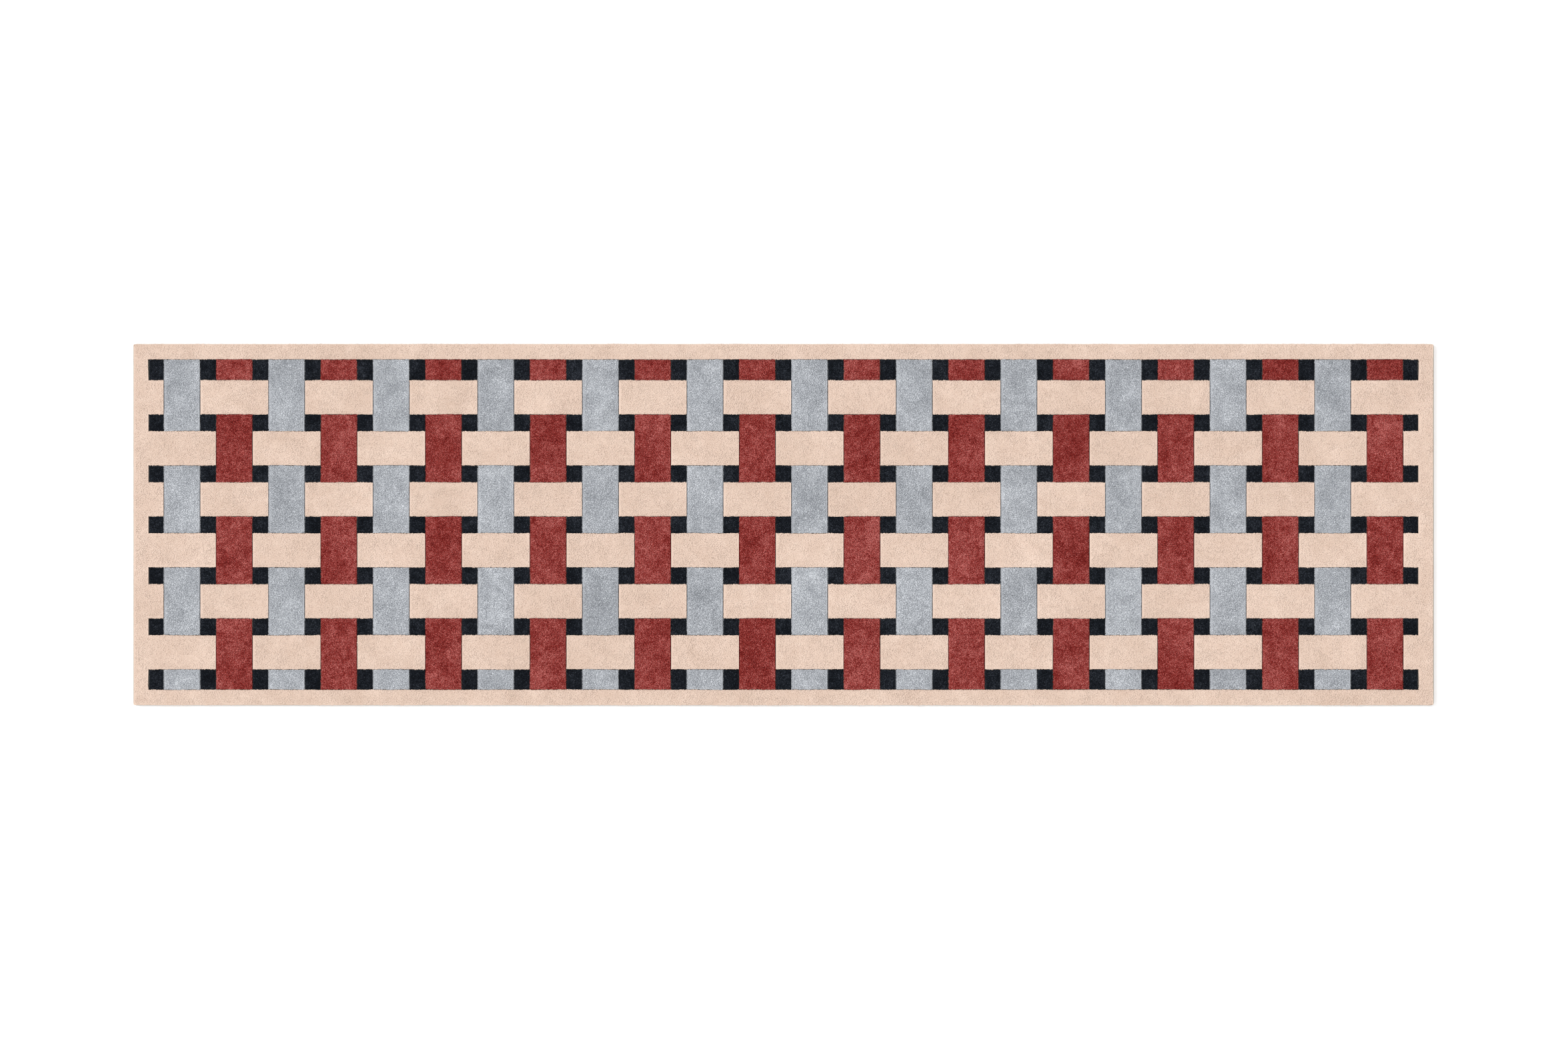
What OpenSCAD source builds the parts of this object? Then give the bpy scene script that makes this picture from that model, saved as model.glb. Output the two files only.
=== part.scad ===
// Runner rug, hand tufted, in a basket-weave pattern.
// The rug lies on its canvas back: X is its length, Y its width and Z points up out of the pile.
// The origin is the middle of the underside. All sizes are in millimetres.

/* [Rug] */
// Length of the rug
rug_l = 2743; // [2200:1:3350]
// Width of the rug
rug_w = 762; // [630:1:920]
// Radius of the four outer corners
corner_r = 6; // [2:0.5:12]
// Width of the plain border on all four sides
border_w = 33; // [20:0.5:45]

/* [Pattern] */
// Width of each grey and red strip
strip_w = 76; // [50:0.5:92]
// Dark gap between an end border and the nearest strip
end_gap = 32; // [10:0.5:60]
// Width of each lengthwise cream band
band_w = 72.5; // [45:0.5:88]
// Dark gap between the back border and the first band
back_gap = 43.5; // [20:0.5:55]
// Dark gap between the last band and the front border
front_gap = 42.5; // [20:0.5:55]

/* [Pile] */
// Height of the cream pile above the primary cloth
cream_h = 9.5; // [6:0.1:16]
// Height of the grey pile
grey_h = 9.9; // [6:0.1:16]
// Height of the red pile, which stands proud
red_h = 10.5; // [6:0.1:16]
// Height of the dark pile, which lies lowest
dark_h = 8.6; // [6:0.1:16]
// Width of the bevel sheared along each colour line
carve_w = 2; // [0.5:0.1:4]
// Depth of that bevel
carve_d = 2.5; // [0.5:0.1:5]
// Clear space between two colours at the foot of the pile
seam = 0.4; // [0.2:0.1:1.5]

/* [Backing] */
// Thickness of the primary cloth that carries the tufts
cloth_t = 0.7; // [0.4:0.1:1.2]
// How far the turned margin of that cloth reaches in past the canvas's step
margin_past = 8; // [2:1:30]
// Thickness of the latex pre-coat under the primary cloth
precoat_t = 0.7; // [0.3:0.1:1.5]
// Thickness of the scrim bedded in the latex
scrim_t = 0.25; // [0.1:0.05:0.5]
// Latex left between the scrim and the turned margin
glue_t = 0.2; // [0.1:0.05:0.6]
// Thickness of the canvas back
canvas_t = 0.6; // [0.3:0.1:1.2]
// How far the canvas stays back from the rug's edge
canvas_inset = 5; // [3:0.5:12]
// Width of the hem tape
tape_w = 26; // [15:1:40]
// Thickness of the hem tape
tape_t = 0.5; // [0.2:0.1:1]
// How far the hem tape stays back from the rug's edge
tape_inset = 3; // [2:0.5:5]
// Thickness of a stitch as it stands on the tape
thread_t = 0.2; // [0.1:0.05:0.4]
// Width of the row of stitches
thread_w = 0.8; // [0.4:0.1:1.5]
// Distance from a tape's edge to its row of stitches
thread_in = 3; // [2:0.5:5]
// Clear space round pieces that are laid edge to edge
fit = 0.2; // [0.1:0.05:0.5]

/* [Hidden] */
pair_count = 12;
strip_count = 2 * pair_count;
band_count = 6;
round_fn = 48;
past = 1; // how far a cutting shape runs past what it cuts

// Plan: the field inside the border, and the pitch that fills it
field_l = rug_l - 2 * border_w;
field_w = rug_w - 2 * border_w;
strip_pitch = (field_l - 2 * end_gap - strip_w) / (strip_count - 1);
band_pitch = (field_w - back_gap - front_gap - band_w) / (band_count - 1);

// Levels, from the floor up
tape_z = thread_t;
rim_z = tape_z + tape_t;
margin_z = rim_z + canvas_t;
glue_z = margin_z + cloth_t;
scrim_z = glue_z + glue_t;
precoat_z = scrim_z + scrim_t;
cloth_z = precoat_z + precoat_t;
pile_z = cloth_z + cloth_t;

// The canvas lies on the floor inside rim_inset, and is lifted over the tape outside it
rim_inset = tape_inset + tape_w + fit;
step_inset = rim_inset + canvas_t;
margin_inset = step_inset + margin_past;

function two_digits(n) = str(n < 10 ? "0" : "", n);
GREY_STRIPS = [for (n = [1:pair_count]) str("grey_strip_", two_digits(n))];
RED_STRIPS = [for (n = [1:pair_count]) str("red_strip_", two_digits(n))];
CREAM_BANDS = [for (n = [1:band_count]) str("cream_band_", n)];
DARK_ROWS = [for (n = [1:band_count + 1]) str("dark_row_", n)];

// Strips are counted from the left end: even ones are grey, odd ones red
function strip_left(i) = -field_l / 2 + end_gap + i * strip_pitch;
function strip_right(i) = strip_left(i) + strip_w;

// Bands are counted from the back: even ones cross over red, odd ones over grey
function band_back(j) = field_w / 2 - back_gap - j * band_pitch;
function band_front(j) = band_back(j) - band_w;

// The columns and rows of the dark gaps
function gap_left(i) = i == 0 ? -field_l / 2 : strip_right(i - 1);
function gap_right(i) = i == strip_count ? field_l / 2 : strip_left(i);
function gap_back(j) = j == 0 ? field_w / 2 : band_front(j - 1);
function gap_front(j) = j == band_count ? -field_w / 2 : band_back(j);

// ---- Shared shapes ----

// A rectangle centred on the origin with rounded corners
module rounded_plan(l, w, r) {
    if (r < fit) {
        square([l, w], center = true);
    } else {
        square([l - 2 * r, w], center = true);
        square([l, w - 2 * r], center = true);
        for (x = [-1, 1], y = [-1, 1])
            translate([x * (l / 2 - r), y * (w / 2 - r)])
                circle(r = r, $fn = round_fn);
    }
}

// A layer as large as the rug less an inset, between two levels
module layer(inset, low, high) {
    translate([0, 0, low])
        linear_extrude(height = high - low)
            rounded_plan(rug_l - 2 * inset, rug_w - 2 * inset, max(corner_r - inset, 0));
}

// A frame between two insets from the rug's edge
module frame_layer(outer, inner, low, high) {
    difference() {
        layer(outer, low, high);
        layer(inner, low - past, high + past);
    }
}

// Side view of a block of pile with its two top edges sheared to a bevel
module pile_section(from, to, h) {
    polygon([
        [from, 0], [to, 0], [to, h - carve_d],
        [to - carve_w, h], [from + carve_w, h], [from, h - carve_d]
    ]);
}

// A block of pile that fills a rectangle of the plan, with all four top edges bevelled
module pile_block(left, right, front, back, h) {
    translate([0, 0, pile_z])
        intersection() {
            translate([0, back, 0])
                rotate([90, 0, 0])
                    linear_extrude(height = back - front)
                        pile_section(left, right, h);
            translate([left, 0, 0])
                rotate([90, 0, 90])
                    linear_extrude(height = right - left)
                        pile_section(front, back, h);
        }
}

// The same block, with half a seam left clear all round it
module pile_patch(left, right, front, back, h) {
    half = seam / 2;
    pile_block(left + half, right - half, front + half, back - half, h);
}

// ---- Pile ----

// The lengths of one strip that show between the bands that cross over it
module strip_lengths(i, h, covering) {
    backs = concat([field_w / 2], [for (j = covering) band_front(j)]);
    fronts = concat([for (j = covering) band_back(j)], [-field_w / 2]);
    for (n = [0:len(backs) - 1])
        pile_patch(strip_left(i), strip_right(i), fronts[n], backs[n], h);
}

// One grey strip, which goes under every odd band
module grey_strip(n) {
    color([0.69, 0.71, 0.73])
        strip_lengths(2 * n, grey_h, [for (j = [1:2:band_count - 1]) j]);
}

// One red strip, which goes under every even band
module red_strip(n) {
    color([0.56, 0.24, 0.22])
        strip_lengths(2 * n + 1, red_h, [for (j = [0:2:band_count - 1]) j]);
}

// The inner patches of one band, each from one covering strip to the next
module cream_band(j) {
    first = j % 2;
    color([0.89, 0.79, 0.72])
        for (i = [first:2:strip_count - 3])
            pile_patch(strip_right(i), strip_left(i + 2), band_front(j), band_back(j), cream_h);
}

// One row of dark squares
module dark_row(j) {
    color([0.13, 0.14, 0.17])
        for (i = [0:strip_count])
            pile_patch(gap_left(i), gap_right(i), gap_front(j), gap_back(j), dark_h);
}

// The whole cream border with the ends of the bands that grow out of it
module cream_border() {
    half = seam / 2;
    side = border_w - half;
    root = border_w / 2;
    intersection() {
        layer(0, pile_z, pile_z + cream_h);
        union() {
            pile_block(-rug_l / 2, rug_l / 2, rug_w / 2 - side, rug_w / 2, cream_h);
            pile_block(-rug_l / 2, rug_l / 2, -rug_w / 2, -rug_w / 2 + side, cream_h);
            pile_block(-rug_l / 2, -rug_l / 2 + side, -rug_w / 2, rug_w / 2, cream_h);
            pile_block(rug_l / 2 - side, rug_l / 2, -rug_w / 2, rug_w / 2, cream_h);
            for (j = [0:band_count - 1]) {
                low = band_front(j) + half;
                high = band_back(j) - half;
                pile_block(-rug_l / 2 + root, strip_left(j % 2) - half, low, high, cream_h);
                pile_block(strip_right(strip_count - 2 + j % 2) + half, rug_l / 2 - root,
                    low, high, cream_h);
            }
        }
    }
}

// The part of the border between two fronts and two ends of the plan
module border_part(left, right, front, back) {
    color([0.90, 0.80, 0.73])
        intersection() {
            cream_border();
            translate([left, front, 0])
                cube([right - left, back - front, pile_z + cream_h + past]);
        }
}

module cream_border_back() {
    border_part(-rug_l, rug_l, field_w / 2, rug_w);
}

module cream_border_front() {
    border_part(-rug_l, rug_l, -rug_w, -field_w / 2);
}

module cream_border_left() {
    border_part(-rug_l, 0, -field_w / 2, field_w / 2);
}

module cream_border_right() {
    border_part(0, rug_l, -field_w / 2, field_w / 2);
}

// ---- Backing ----

// The turned margin of the primary cloth, under the edge
module turned_margin() {
    frame_layer(0, margin_inset, margin_z, glue_z);
}

// The cloth that carries the tufts, folded down round the edge and under it
module primary_cloth() {
    color([0.86, 0.84, 0.78]) {
        layer(0, cloth_z, pile_z);
        frame_layer(0, cloth_t, margin_z, cloth_z);
        turned_margin();
    }
}

module latex_precoat() {
    color([0.90, 0.87, 0.76])
        layer(cloth_t, precoat_z, cloth_z);
}

module scrim() {
    color([0.93, 0.92, 0.88])
        layer(cloth_t, scrim_z, precoat_z);
}

// The second coat fills the field down to the canvas, and runs thin over the turned margin
module latex_glue_coat() {
    color([0.88, 0.84, 0.72])
        difference() {
            union() {
                layer(cloth_t, glue_z, scrim_z);
                layer(step_inset, canvas_t, glue_z);
            }
            turned_margin();
        }
}

// The canvas lies flat in the field and steps up over the hem tape
module backing_canvas() {
    color([0.85, 0.80, 0.70]) {
        layer(rim_inset, 0, canvas_t);
        frame_layer(rim_inset, step_inset, 0, margin_z);
        frame_layer(canvas_inset, step_inset, rim_z, margin_z);
    }
}

// A length of tape with both ends cut at 45 degrees, along the edge of a sheet l long and w wide.
// It is drawn along the back edge, turned to its own side, and follows the rug's rounded corners.
module mitred_tape(l, w, turn) {
    outer = l / 2 - tape_inset - fit;
    inner = outer - tape_w;
    edge = w / 2 - tape_inset;
    color([0.80, 0.75, 0.66])
        intersection() {
            layer(tape_inset, tape_z, rim_z);
            translate([0, 0, tape_z])
                rotate([0, 0, turn])
                    linear_extrude(height = tape_t)
                        polygon([
                            [-outer, edge], [-inner, edge - tape_w],
                            [inner, edge - tape_w], [outer, edge]
                        ]);
        }
}

module hem_tape_back() {
    mitred_tape(rug_l, rug_w, 0);
}

module hem_tape_front() {
    mitred_tape(rug_l, rug_w, 180);
}

module hem_tape_left() {
    mitred_tape(rug_w, rug_l, 90);
}

module hem_tape_right() {
    mitred_tape(rug_w, rug_l, -90);
}

// One row of stitches round the rug, as a thin line along each side
module stitch_row(inset) {
    l = rug_l - 2 * inset;
    w = rug_w - 2 * inset;
    clear = thread_w + fit;
    for (s = [-1, 1]) {
        translate([0, s * (w - thread_w) / 2, thread_t / 2])
            cube([l, thread_w, thread_t], center = true);
        translate([s * (l - thread_w) / 2, 0, thread_t / 2])
            cube([thread_w, w - 2 * clear, thread_t], center = true);
    }
}

module hem_thread() {
    color([0.93, 0.90, 0.82]) {
        stitch_row(tape_inset + thread_in);
        stitch_row(tape_inset + tape_w - thread_in - thread_w);
    }
}

// ---- The rug ----

for (n = [0:pair_count - 1]) grey_strip(n);
for (n = [0:pair_count - 1]) red_strip(n);
for (j = [0:band_count - 1]) cream_band(j);
for (j = [0:band_count]) dark_row(j);
cream_border_back();
cream_border_front();
cream_border_left();
cream_border_right();
primary_cloth();
latex_precoat();
scrim();
latex_glue_coat();
backing_canvas();
hem_tape_back();
hem_tape_front();
hem_tape_left();
hem_tape_right();
hem_thread();
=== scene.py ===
# %% [markdown]
# # A runner rug with a basket-weave pattern
# The real rug is hand tufted: a worker shoots yarn through a stretched cloth, shears it to a pile,
# carves along the colour lines, glues a scrim and a canvas on the back and sews a tape over the edge.
# The script follows the same order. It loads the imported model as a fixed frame, grows the pile out
# of the model's blocks, lays the cloths of the back and sews the hem.

# %% Load the frame
import math

import bmesh
import bpy
import mathutils
import numpy as np
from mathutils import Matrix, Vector


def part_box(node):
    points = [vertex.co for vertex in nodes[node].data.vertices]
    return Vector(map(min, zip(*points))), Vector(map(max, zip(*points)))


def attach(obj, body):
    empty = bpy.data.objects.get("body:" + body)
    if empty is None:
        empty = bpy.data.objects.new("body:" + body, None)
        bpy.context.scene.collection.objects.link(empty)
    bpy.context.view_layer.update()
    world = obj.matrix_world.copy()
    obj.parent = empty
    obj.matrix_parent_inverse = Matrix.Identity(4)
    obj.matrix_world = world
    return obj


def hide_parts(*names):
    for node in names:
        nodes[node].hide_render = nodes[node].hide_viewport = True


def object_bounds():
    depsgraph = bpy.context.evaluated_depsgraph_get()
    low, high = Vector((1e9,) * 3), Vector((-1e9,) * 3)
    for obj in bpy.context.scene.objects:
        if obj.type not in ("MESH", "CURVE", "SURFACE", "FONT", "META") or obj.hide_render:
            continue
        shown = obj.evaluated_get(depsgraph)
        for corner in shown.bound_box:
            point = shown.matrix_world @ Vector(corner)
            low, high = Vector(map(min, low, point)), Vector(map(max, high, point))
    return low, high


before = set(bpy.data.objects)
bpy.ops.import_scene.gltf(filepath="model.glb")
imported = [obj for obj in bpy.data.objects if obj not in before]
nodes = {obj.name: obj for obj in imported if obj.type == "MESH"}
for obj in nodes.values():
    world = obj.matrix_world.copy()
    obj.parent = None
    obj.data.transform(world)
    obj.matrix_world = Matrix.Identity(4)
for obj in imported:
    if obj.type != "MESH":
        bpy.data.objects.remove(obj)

cad_low, cad_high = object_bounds()
rug_length = cad_high.x - cad_low.x
rug_width = cad_high.y - cad_low.y
print("nodes", len(nodes), "length", round(rug_length, 4), "width", round(rug_width, 4))

# %% [markdown]
# ## Camera, floor and light
# The rug is looked at from straight above, so nothing is nearer than anything else and a camera
# without perspective is the right one. A perspective camera very far away would do the same with
# more trouble. The rug lies on a white studio floor under a white dome, which fills every side
# evenly. One wide sun from the left gives the tufts and the carved lines their small shadows.

# %% Camera
PICTURE_WIDTH = 3.3067
CAMERA_HEIGHT = 4.0
CAMERA_RIGHT = 0.0011
CAMERA_BACK = 0.0034

camera_data = bpy.data.cameras.new("camera")
camera_data.type = "ORTHO"
camera_data.ortho_scale = PICTURE_WIDTH
camera = bpy.data.objects.new("camera", camera_data)
camera.location = (CAMERA_RIGHT, CAMERA_BACK, CAMERA_HEIGHT)
scene = bpy.context.scene
scene.collection.objects.link(camera)
scene.camera = camera
scene.view_settings.view_transform = "Standard"
scene.view_settings.look = "None"
print("camera covers", PICTURE_WIDTH, "m across")

# %% Dome and sun
DOME_STRENGTH = 1.15
SUN_STRENGTH = 1.9
SUN_SOFTNESS = math.radians(14)
SUN_FROM = Vector((-0.80, 0.28, 0.95))

dome = bpy.data.worlds.new("white_dome")
dome.use_nodes = True
dome.node_tree.nodes["Background"].inputs["Color"].default_value = (1.0, 1.0, 1.0, 1.0)
dome.node_tree.nodes["Background"].inputs["Strength"].default_value = DOME_STRENGTH
scene.world = dome

sun_data = bpy.data.lights.new("sun", "SUN")
sun_data.energy = SUN_STRENGTH
sun_data.angle = SUN_SOFTNESS
sun = bpy.data.objects.new("sun", sun_data)
sun.rotation_mode = "QUATERNION"
sun.rotation_quaternion = SUN_FROM.to_track_quat("Z", "Y")
scene.collection.objects.link(sun)
print("sun stands", round(math.degrees(math.asin(SUN_FROM.normalized().z))), "degrees high")

# %% [markdown]
# ## Small helpers for node trees
# Every material and every Geometry Nodes tree below is written in the script. Two helpers keep that
# short: one adds a node with its settings and inputs, where an input is either a value or a link,
# and one opens a new tree with named inputs and outputs. The others are the nodes used most often.

# %% Node helpers
def add_node(tree, kind, inputs=None, **settings):
    """A new node. inputs holds values or links by name or number, settings its properties."""
    made = tree.nodes.new(kind)
    for name, value in settings.items():
        setattr(made, name, value)
    for name, value in (inputs or {}).items():
        if isinstance(value, bpy.types.NodeSocket):
            tree.links.new(value, made.inputs[name])
        else:
            made.inputs[name].default_value = value
    return made


def new_group(name, kind, inputs, outputs):
    """A new tree with its inputs' values, and the sockets to read them and to put results on."""
    tree = bpy.data.node_groups.new(name, kind)
    for title, socket_kind, value in inputs:
        socket = tree.interface.new_socket(name=title, in_out="INPUT", socket_type=socket_kind)
        if value is not None:
            socket.default_value = value
    for title, socket_kind in outputs:
        tree.interface.new_socket(name=title, in_out="OUTPUT", socket_type=socket_kind)
    ends = tree.nodes.new("NodeGroupInput"), tree.nodes.new("NodeGroupOutput")
    return tree, ends[0].outputs, ends[1].inputs


def maths(tree, operation, *values):
    """A calculation with numbers."""
    inputs = dict(enumerate(values))
    return add_node(tree, "ShaderNodeMath", inputs, operation=operation).outputs[0]


def vector_maths(tree, operation, *values):
    """A calculation with vectors. A length or a dot product comes out as a number."""
    made = add_node(tree, "ShaderNodeVectorMath", dict(enumerate(values)), operation=operation)
    return made.outputs["Value" if operation in ("DOT_PRODUCT", "LENGTH") else "Vector"]


def mix_colours(tree, share, first, second, blend="MIX"):
    """The first colour where share is 0, the second where it is 1."""
    made = add_node(tree, "ShaderNodeMix", {0: share, 6: first, 7: second},
                    data_type="RGBA", blend_type=blend)
    return made.outputs[2]


def put_in_scene(name, mesh):
    """A new object at the origin, so that its place is all in its mesh."""
    made = bpy.data.objects.new(name, mesh)
    scene.collection.objects.link(made)
    return made


print("helpers ready")

# %% [markdown]
# ## The floor
# A big plain sheet of white board under the rug. It only has to be pale and even, and the light is
# strong enough on it to come out as pure white. A very soft speckle keeps it from being one flat
# colour.

# %% Floor
FLOOR_HALF = 30.0
SPECKLES_PER_METRE = 900.0
SPECKLE_COLOURS = ((0.93, 0.93, 0.93, 1), (0.96, 0.96, 0.96, 1))

floor_mesh = bpy.data.meshes.new("floor")
floor_mesh.from_pydata(
    [(-FLOOR_HALF, -FLOOR_HALF, 0), (FLOOR_HALF, -FLOOR_HALF, 0),
     (FLOOR_HALF, FLOOR_HALF, 0), (-FLOOR_HALF, FLOOR_HALF, 0)],
    [], [(0, 1, 2, 3)],
)
floor = put_in_scene("floor", floor_mesh)
floor_paint = bpy.data.materials.new("floor_board")
floor_paint.use_nodes = True
floor_tree = floor_paint.node_tree
floor_shader = floor_tree.nodes["Principled BSDF"]
speckle = add_node(floor_tree, "ShaderNodeTexNoise", {"Scale": SPECKLES_PER_METRE})
speckle_colour = mix_colours(floor_tree, speckle.outputs["Fac"], *SPECKLE_COLOURS)
floor_tree.links.new(speckle_colour, floor_shader.inputs["Base Color"])
floor_shader.inputs["Roughness"].default_value = 0.9
floor_shader.inputs["Specular IOR Level"].default_value = 0.1
floor_mesh.materials.append(floor_paint)
print("floor is", 2 * FLOOR_HALF, "m square")

# %% [markdown]
# ## Yarn
# Pile yarn is not one colour. Each tuft takes the dye a little differently. Its root lies in shade,
# and whole fields of pile lean one way and look lighter or darker; that shade and light are painted
# into the colour. One shader group makes all of that from the tuft's own values, `tone` and `tip`, and
# from places on the rug. It is used by all four yarns, each with its own dye and its own strength of
# every effect. The alternative, four separate materials, would be four times the work to tune.

# %% Yarn group
# The painted light and shade of leaning fields: the broader noise's size and share, and a gain on its
# strength.
BROADER = 0.17
BROAD_SHARE = 0.55
LAY_SHADING_GAIN = 4.0
FIBRES_PER_METRE = 1700.0
SURFACE_OUTPUTS = [
    ("Color", "NodeSocketColor"), ("Roughness", "NodeSocketFloat"), ("Height", "NodeSocketFloat"),
]


def put_out(tree, result, colour, uneven, rough_low, rough_high, height):
    """Links a surface group's outputs. The roughness follows an uneven value from 0 to 1."""
    rough = add_node(tree, "ShaderNodeMapRange", {
        "Value": uneven, "To Min": rough_low, "To Max": rough_high})
    tree.links.new(colour, result["Color"])
    tree.links.new(rough.outputs["Result"], result["Roughness"])
    tree.links.new(height, result["Height"])


yarn_group, yarn_in, yarn_out = new_group(
    "dyed_yarn", "ShaderNodeTree",
    [("Dye", "NodeSocketColor", None), ("Light Dye", "NodeSocketColor", None),
     ("Dark Dye", "NodeSocketColor", None), ("Tuft Contrast", "NodeSocketFloat", 0.5),
     ("Ply Contrast", "NodeSocketFloat", 0.5), ("Ply Size", "NodeSocketFloat", 0.0013),
     ("Mottle", "NodeSocketFloat", 0.3), ("Mottle Size", "NodeSocketFloat", 0.03),
     ("Root Shade", "NodeSocketFloat", 0.5)],
    SURFACE_OUTPUTS,
)


def fill_yarn_group(tree, given, result):
    """Tone by tuft and by ply, painted light and shade by field, and painted shade towards the root.
    """
    place = add_node(tree, "ShaderNodeTexCoord").outputs["Object"]
    tone = add_node(tree, "ShaderNodeAttribute", attribute_name="tone").outputs["Fac"]
    tip = add_node(tree, "ShaderNodeAttribute", attribute_name="tip").outputs["Fac"]
    # Tuft by tuft: below the middle tone towards the dark dye, above it towards the light one.
    swing = maths(tree, "MULTIPLY", maths(tree, "SUBTRACT", tone, 0.5), given["Tuft Contrast"])
    # Ply by ply: the ends of one yarn are finer than the tuft.
    plies = add_node(tree, "ShaderNodeTexNoise", {
        "Vector": place, "Scale": maths(tree, "DIVIDE", 1.0, given["Ply Size"]),
        "Detail": 1.0, "Roughness": 0.6}).outputs["Fac"]
    ply = maths(tree, "MULTIPLY", maths(tree, "SUBTRACT", plies, 0.5), given["Ply Contrast"])
    swing = maths(tree, "ADD", swing, ply)
    # Field by field: a soft noise a few tufts wide, with a broader one over it. It is painted light
    # and shade of pile that leans one way field by field.
    per_metre = maths(tree, "DIVIDE", 1.0, given["Mottle Size"])
    patches = add_node(tree, "ShaderNodeTexNoise", {
        "Vector": place, "Scale": per_metre, "Detail": 3.0, "Roughness": 0.62, "Distortion": 0.6})
    fields = add_node(tree, "ShaderNodeTexNoise", {
        "Vector": place, "Scale": maths(tree, "MULTIPLY", per_metre, BROADER), "Detail": 1.0})
    both = maths(tree, "MULTIPLY_ADD", fields.outputs["Fac"], BROAD_SHARE, patches.outputs["Fac"])
    middle = 0.5 * (1 + BROAD_SHARE)
    drift = maths(tree, "MULTIPLY", maths(tree, "SUBTRACT", both, middle), given["Mottle"])
    shift = maths(tree, "ADD", swing, maths(tree, "MULTIPLY", drift, LAY_SHADING_GAIN))
    lighter = add_node(tree, "ShaderNodeClamp", {"Value": shift}).outputs[0]
    darker = add_node(
        tree, "ShaderNodeClamp", {"Value": maths(tree, "MULTIPLY", shift, -1.0)}).outputs[0]
    colour = mix_colours(tree, lighter, given["Dye"], given["Light Dye"])
    colour = mix_colours(tree, darker, colour, given["Dark Dye"])
    # Painted shade: down the tuft towards its root the colour is darkened with the dark dye.
    depth = maths(tree, "MULTIPLY", maths(tree, "SUBTRACT", 1.0, tip), given["Root Shade"])
    deep = mix_colours(tree, 1.0, colour, given["Dark Dye"], "MULTIPLY")
    colour = mix_colours(tree, depth, colour, deep)
    # Loose fibre ends are finer than a tuft.
    fibre = add_node(tree, "ShaderNodeTexNoise", {
        "Vector": place, "Scale": FIBRES_PER_METRE, "Detail": 2.0,
        "Roughness": 0.7}).outputs["Fac"]
    put_out(tree, result, colour, fibre, 0.82, 1.0, height=fibre)


fill_yarn_group(yarn_group, yarn_in, yarn_out)
print("yarn group has", len(yarn_group.nodes), "nodes")

# %% Yarn material
SHEEN_ROUGHNESS = 0.5


def group_material(name, group, values, specular, sheen, sheen_tint, bump):
    """A material round a group. bump is its strength and its distance in metres."""
    material = bpy.data.materials.new(name)
    material.use_nodes = True
    tree = material.node_tree
    shader = tree.nodes["Principled BSDF"]
    source = add_node(tree, "ShaderNodeGroup", node_tree=group)
    for title, value in values.items():
        source.inputs[title].default_value = value
    tree.links.new(source.outputs["Color"], shader.inputs["Base Color"])
    tree.links.new(source.outputs["Roughness"], shader.inputs["Roughness"])
    relief = add_node(tree, "ShaderNodeBump", {
        "Height": source.outputs["Height"], "Strength": bump[0], "Distance": bump[1]})
    tree.links.new(relief.outputs["Normal"], shader.inputs["Normal"])
    shader.inputs["Specular IOR Level"].default_value = specular
    shader.inputs["Sheen Weight"].default_value = sheen
    shader.inputs["Sheen Roughness"].default_value = SHEEN_ROUGHNESS
    shader.inputs["Sheen Tint"].default_value = sheen_tint
    return material


YARN_BUMP = (0.35, 0.0004)


def yarn(name, dye, light, dark, contrast, ply, mottle, mottle_size, root, specular, sheen):
    """A pile yarn: three dyes, how strong each effect is, and how the yarn shines.
    The light and dark dyes also paint light and shade.
    """
    # The field noise's strength and size set painted light and shade of leaning pile; root sets the
    # painted shade towards the root.
    values = {
        "Dye": (*dye, 1), "Light Dye": (*light, 1), "Dark Dye": (*dark, 1),
        "Tuft Contrast": contrast, "Ply Contrast": ply, "Mottle": mottle,
        "Mottle Size": mottle_size, "Root Shade": root,
    }
    return group_material(name, yarn_group, values, specular, sheen, (*light, 1), YARN_BUMP)


yarns = {
    "cream": yarn(
        "cream_yarn", dye=(0.556, 0.425, 0.349), light=(0.74, 0.60, 0.51),
        dark=(0.46, 0.335, 0.26), contrast=0.20, ply=1.3, mottle=0.26, mottle_size=0.060,
        root=0.12, specular=0.20, sheen=0.04),
    "grey": yarn(
        "grey_yarn", dye=(0.312, 0.326, 0.350), light=(0.60, 0.62, 0.65),
        dark=(0.145, 0.155, 0.170), contrast=0.36, ply=3.2, mottle=0.32, mottle_size=0.045,
        root=0.35, specular=0.15, sheen=0.04),
    "red": yarn(
        "red_yarn", dye=(0.207, 0.021, 0.017), light=(0.47, 0.150, 0.136),
        dark=(0.075, 0.002, 0.002), contrast=0.50, ply=4.4, mottle=0.40, mottle_size=0.022,
        root=0.60, specular=0.08, sheen=0.03),
    "dark": yarn(
        "dark_yarn", dye=(0.0060, 0.0078, 0.0110), light=(0.038, 0.043, 0.054),
        dark=(0.002, 0.002, 0.003), contrast=0.6, ply=2.8, mottle=0.32, mottle_size=0.030,
        root=0.60, specular=0.05, sheen=0.01),
}
print("yarns", list(yarns))

# %% [markdown]
# ## One tuft
# A tuft is a bunch of yarn ends that stand up out of the cloth: narrow at the root, fullest just
# under the shears, and slightly domed on top. There are about two hundred thousand of them, so the
# shape has only eight faces, four up to the tip and four down to the root, shaded smooth. A taller
# one with a second ring stands along the rug's edge. Hair would look finer, but it can't leave
# Blender as a mesh.

# %% Tuft shapes
TUFT_SIDES = 4
RAGGED_TURN = 0.25
RAGGED_REACH = 0.16
RAGGED_LEVEL = 0.05
TUFT_TIP = (0.18, -0.10, 1)


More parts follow.
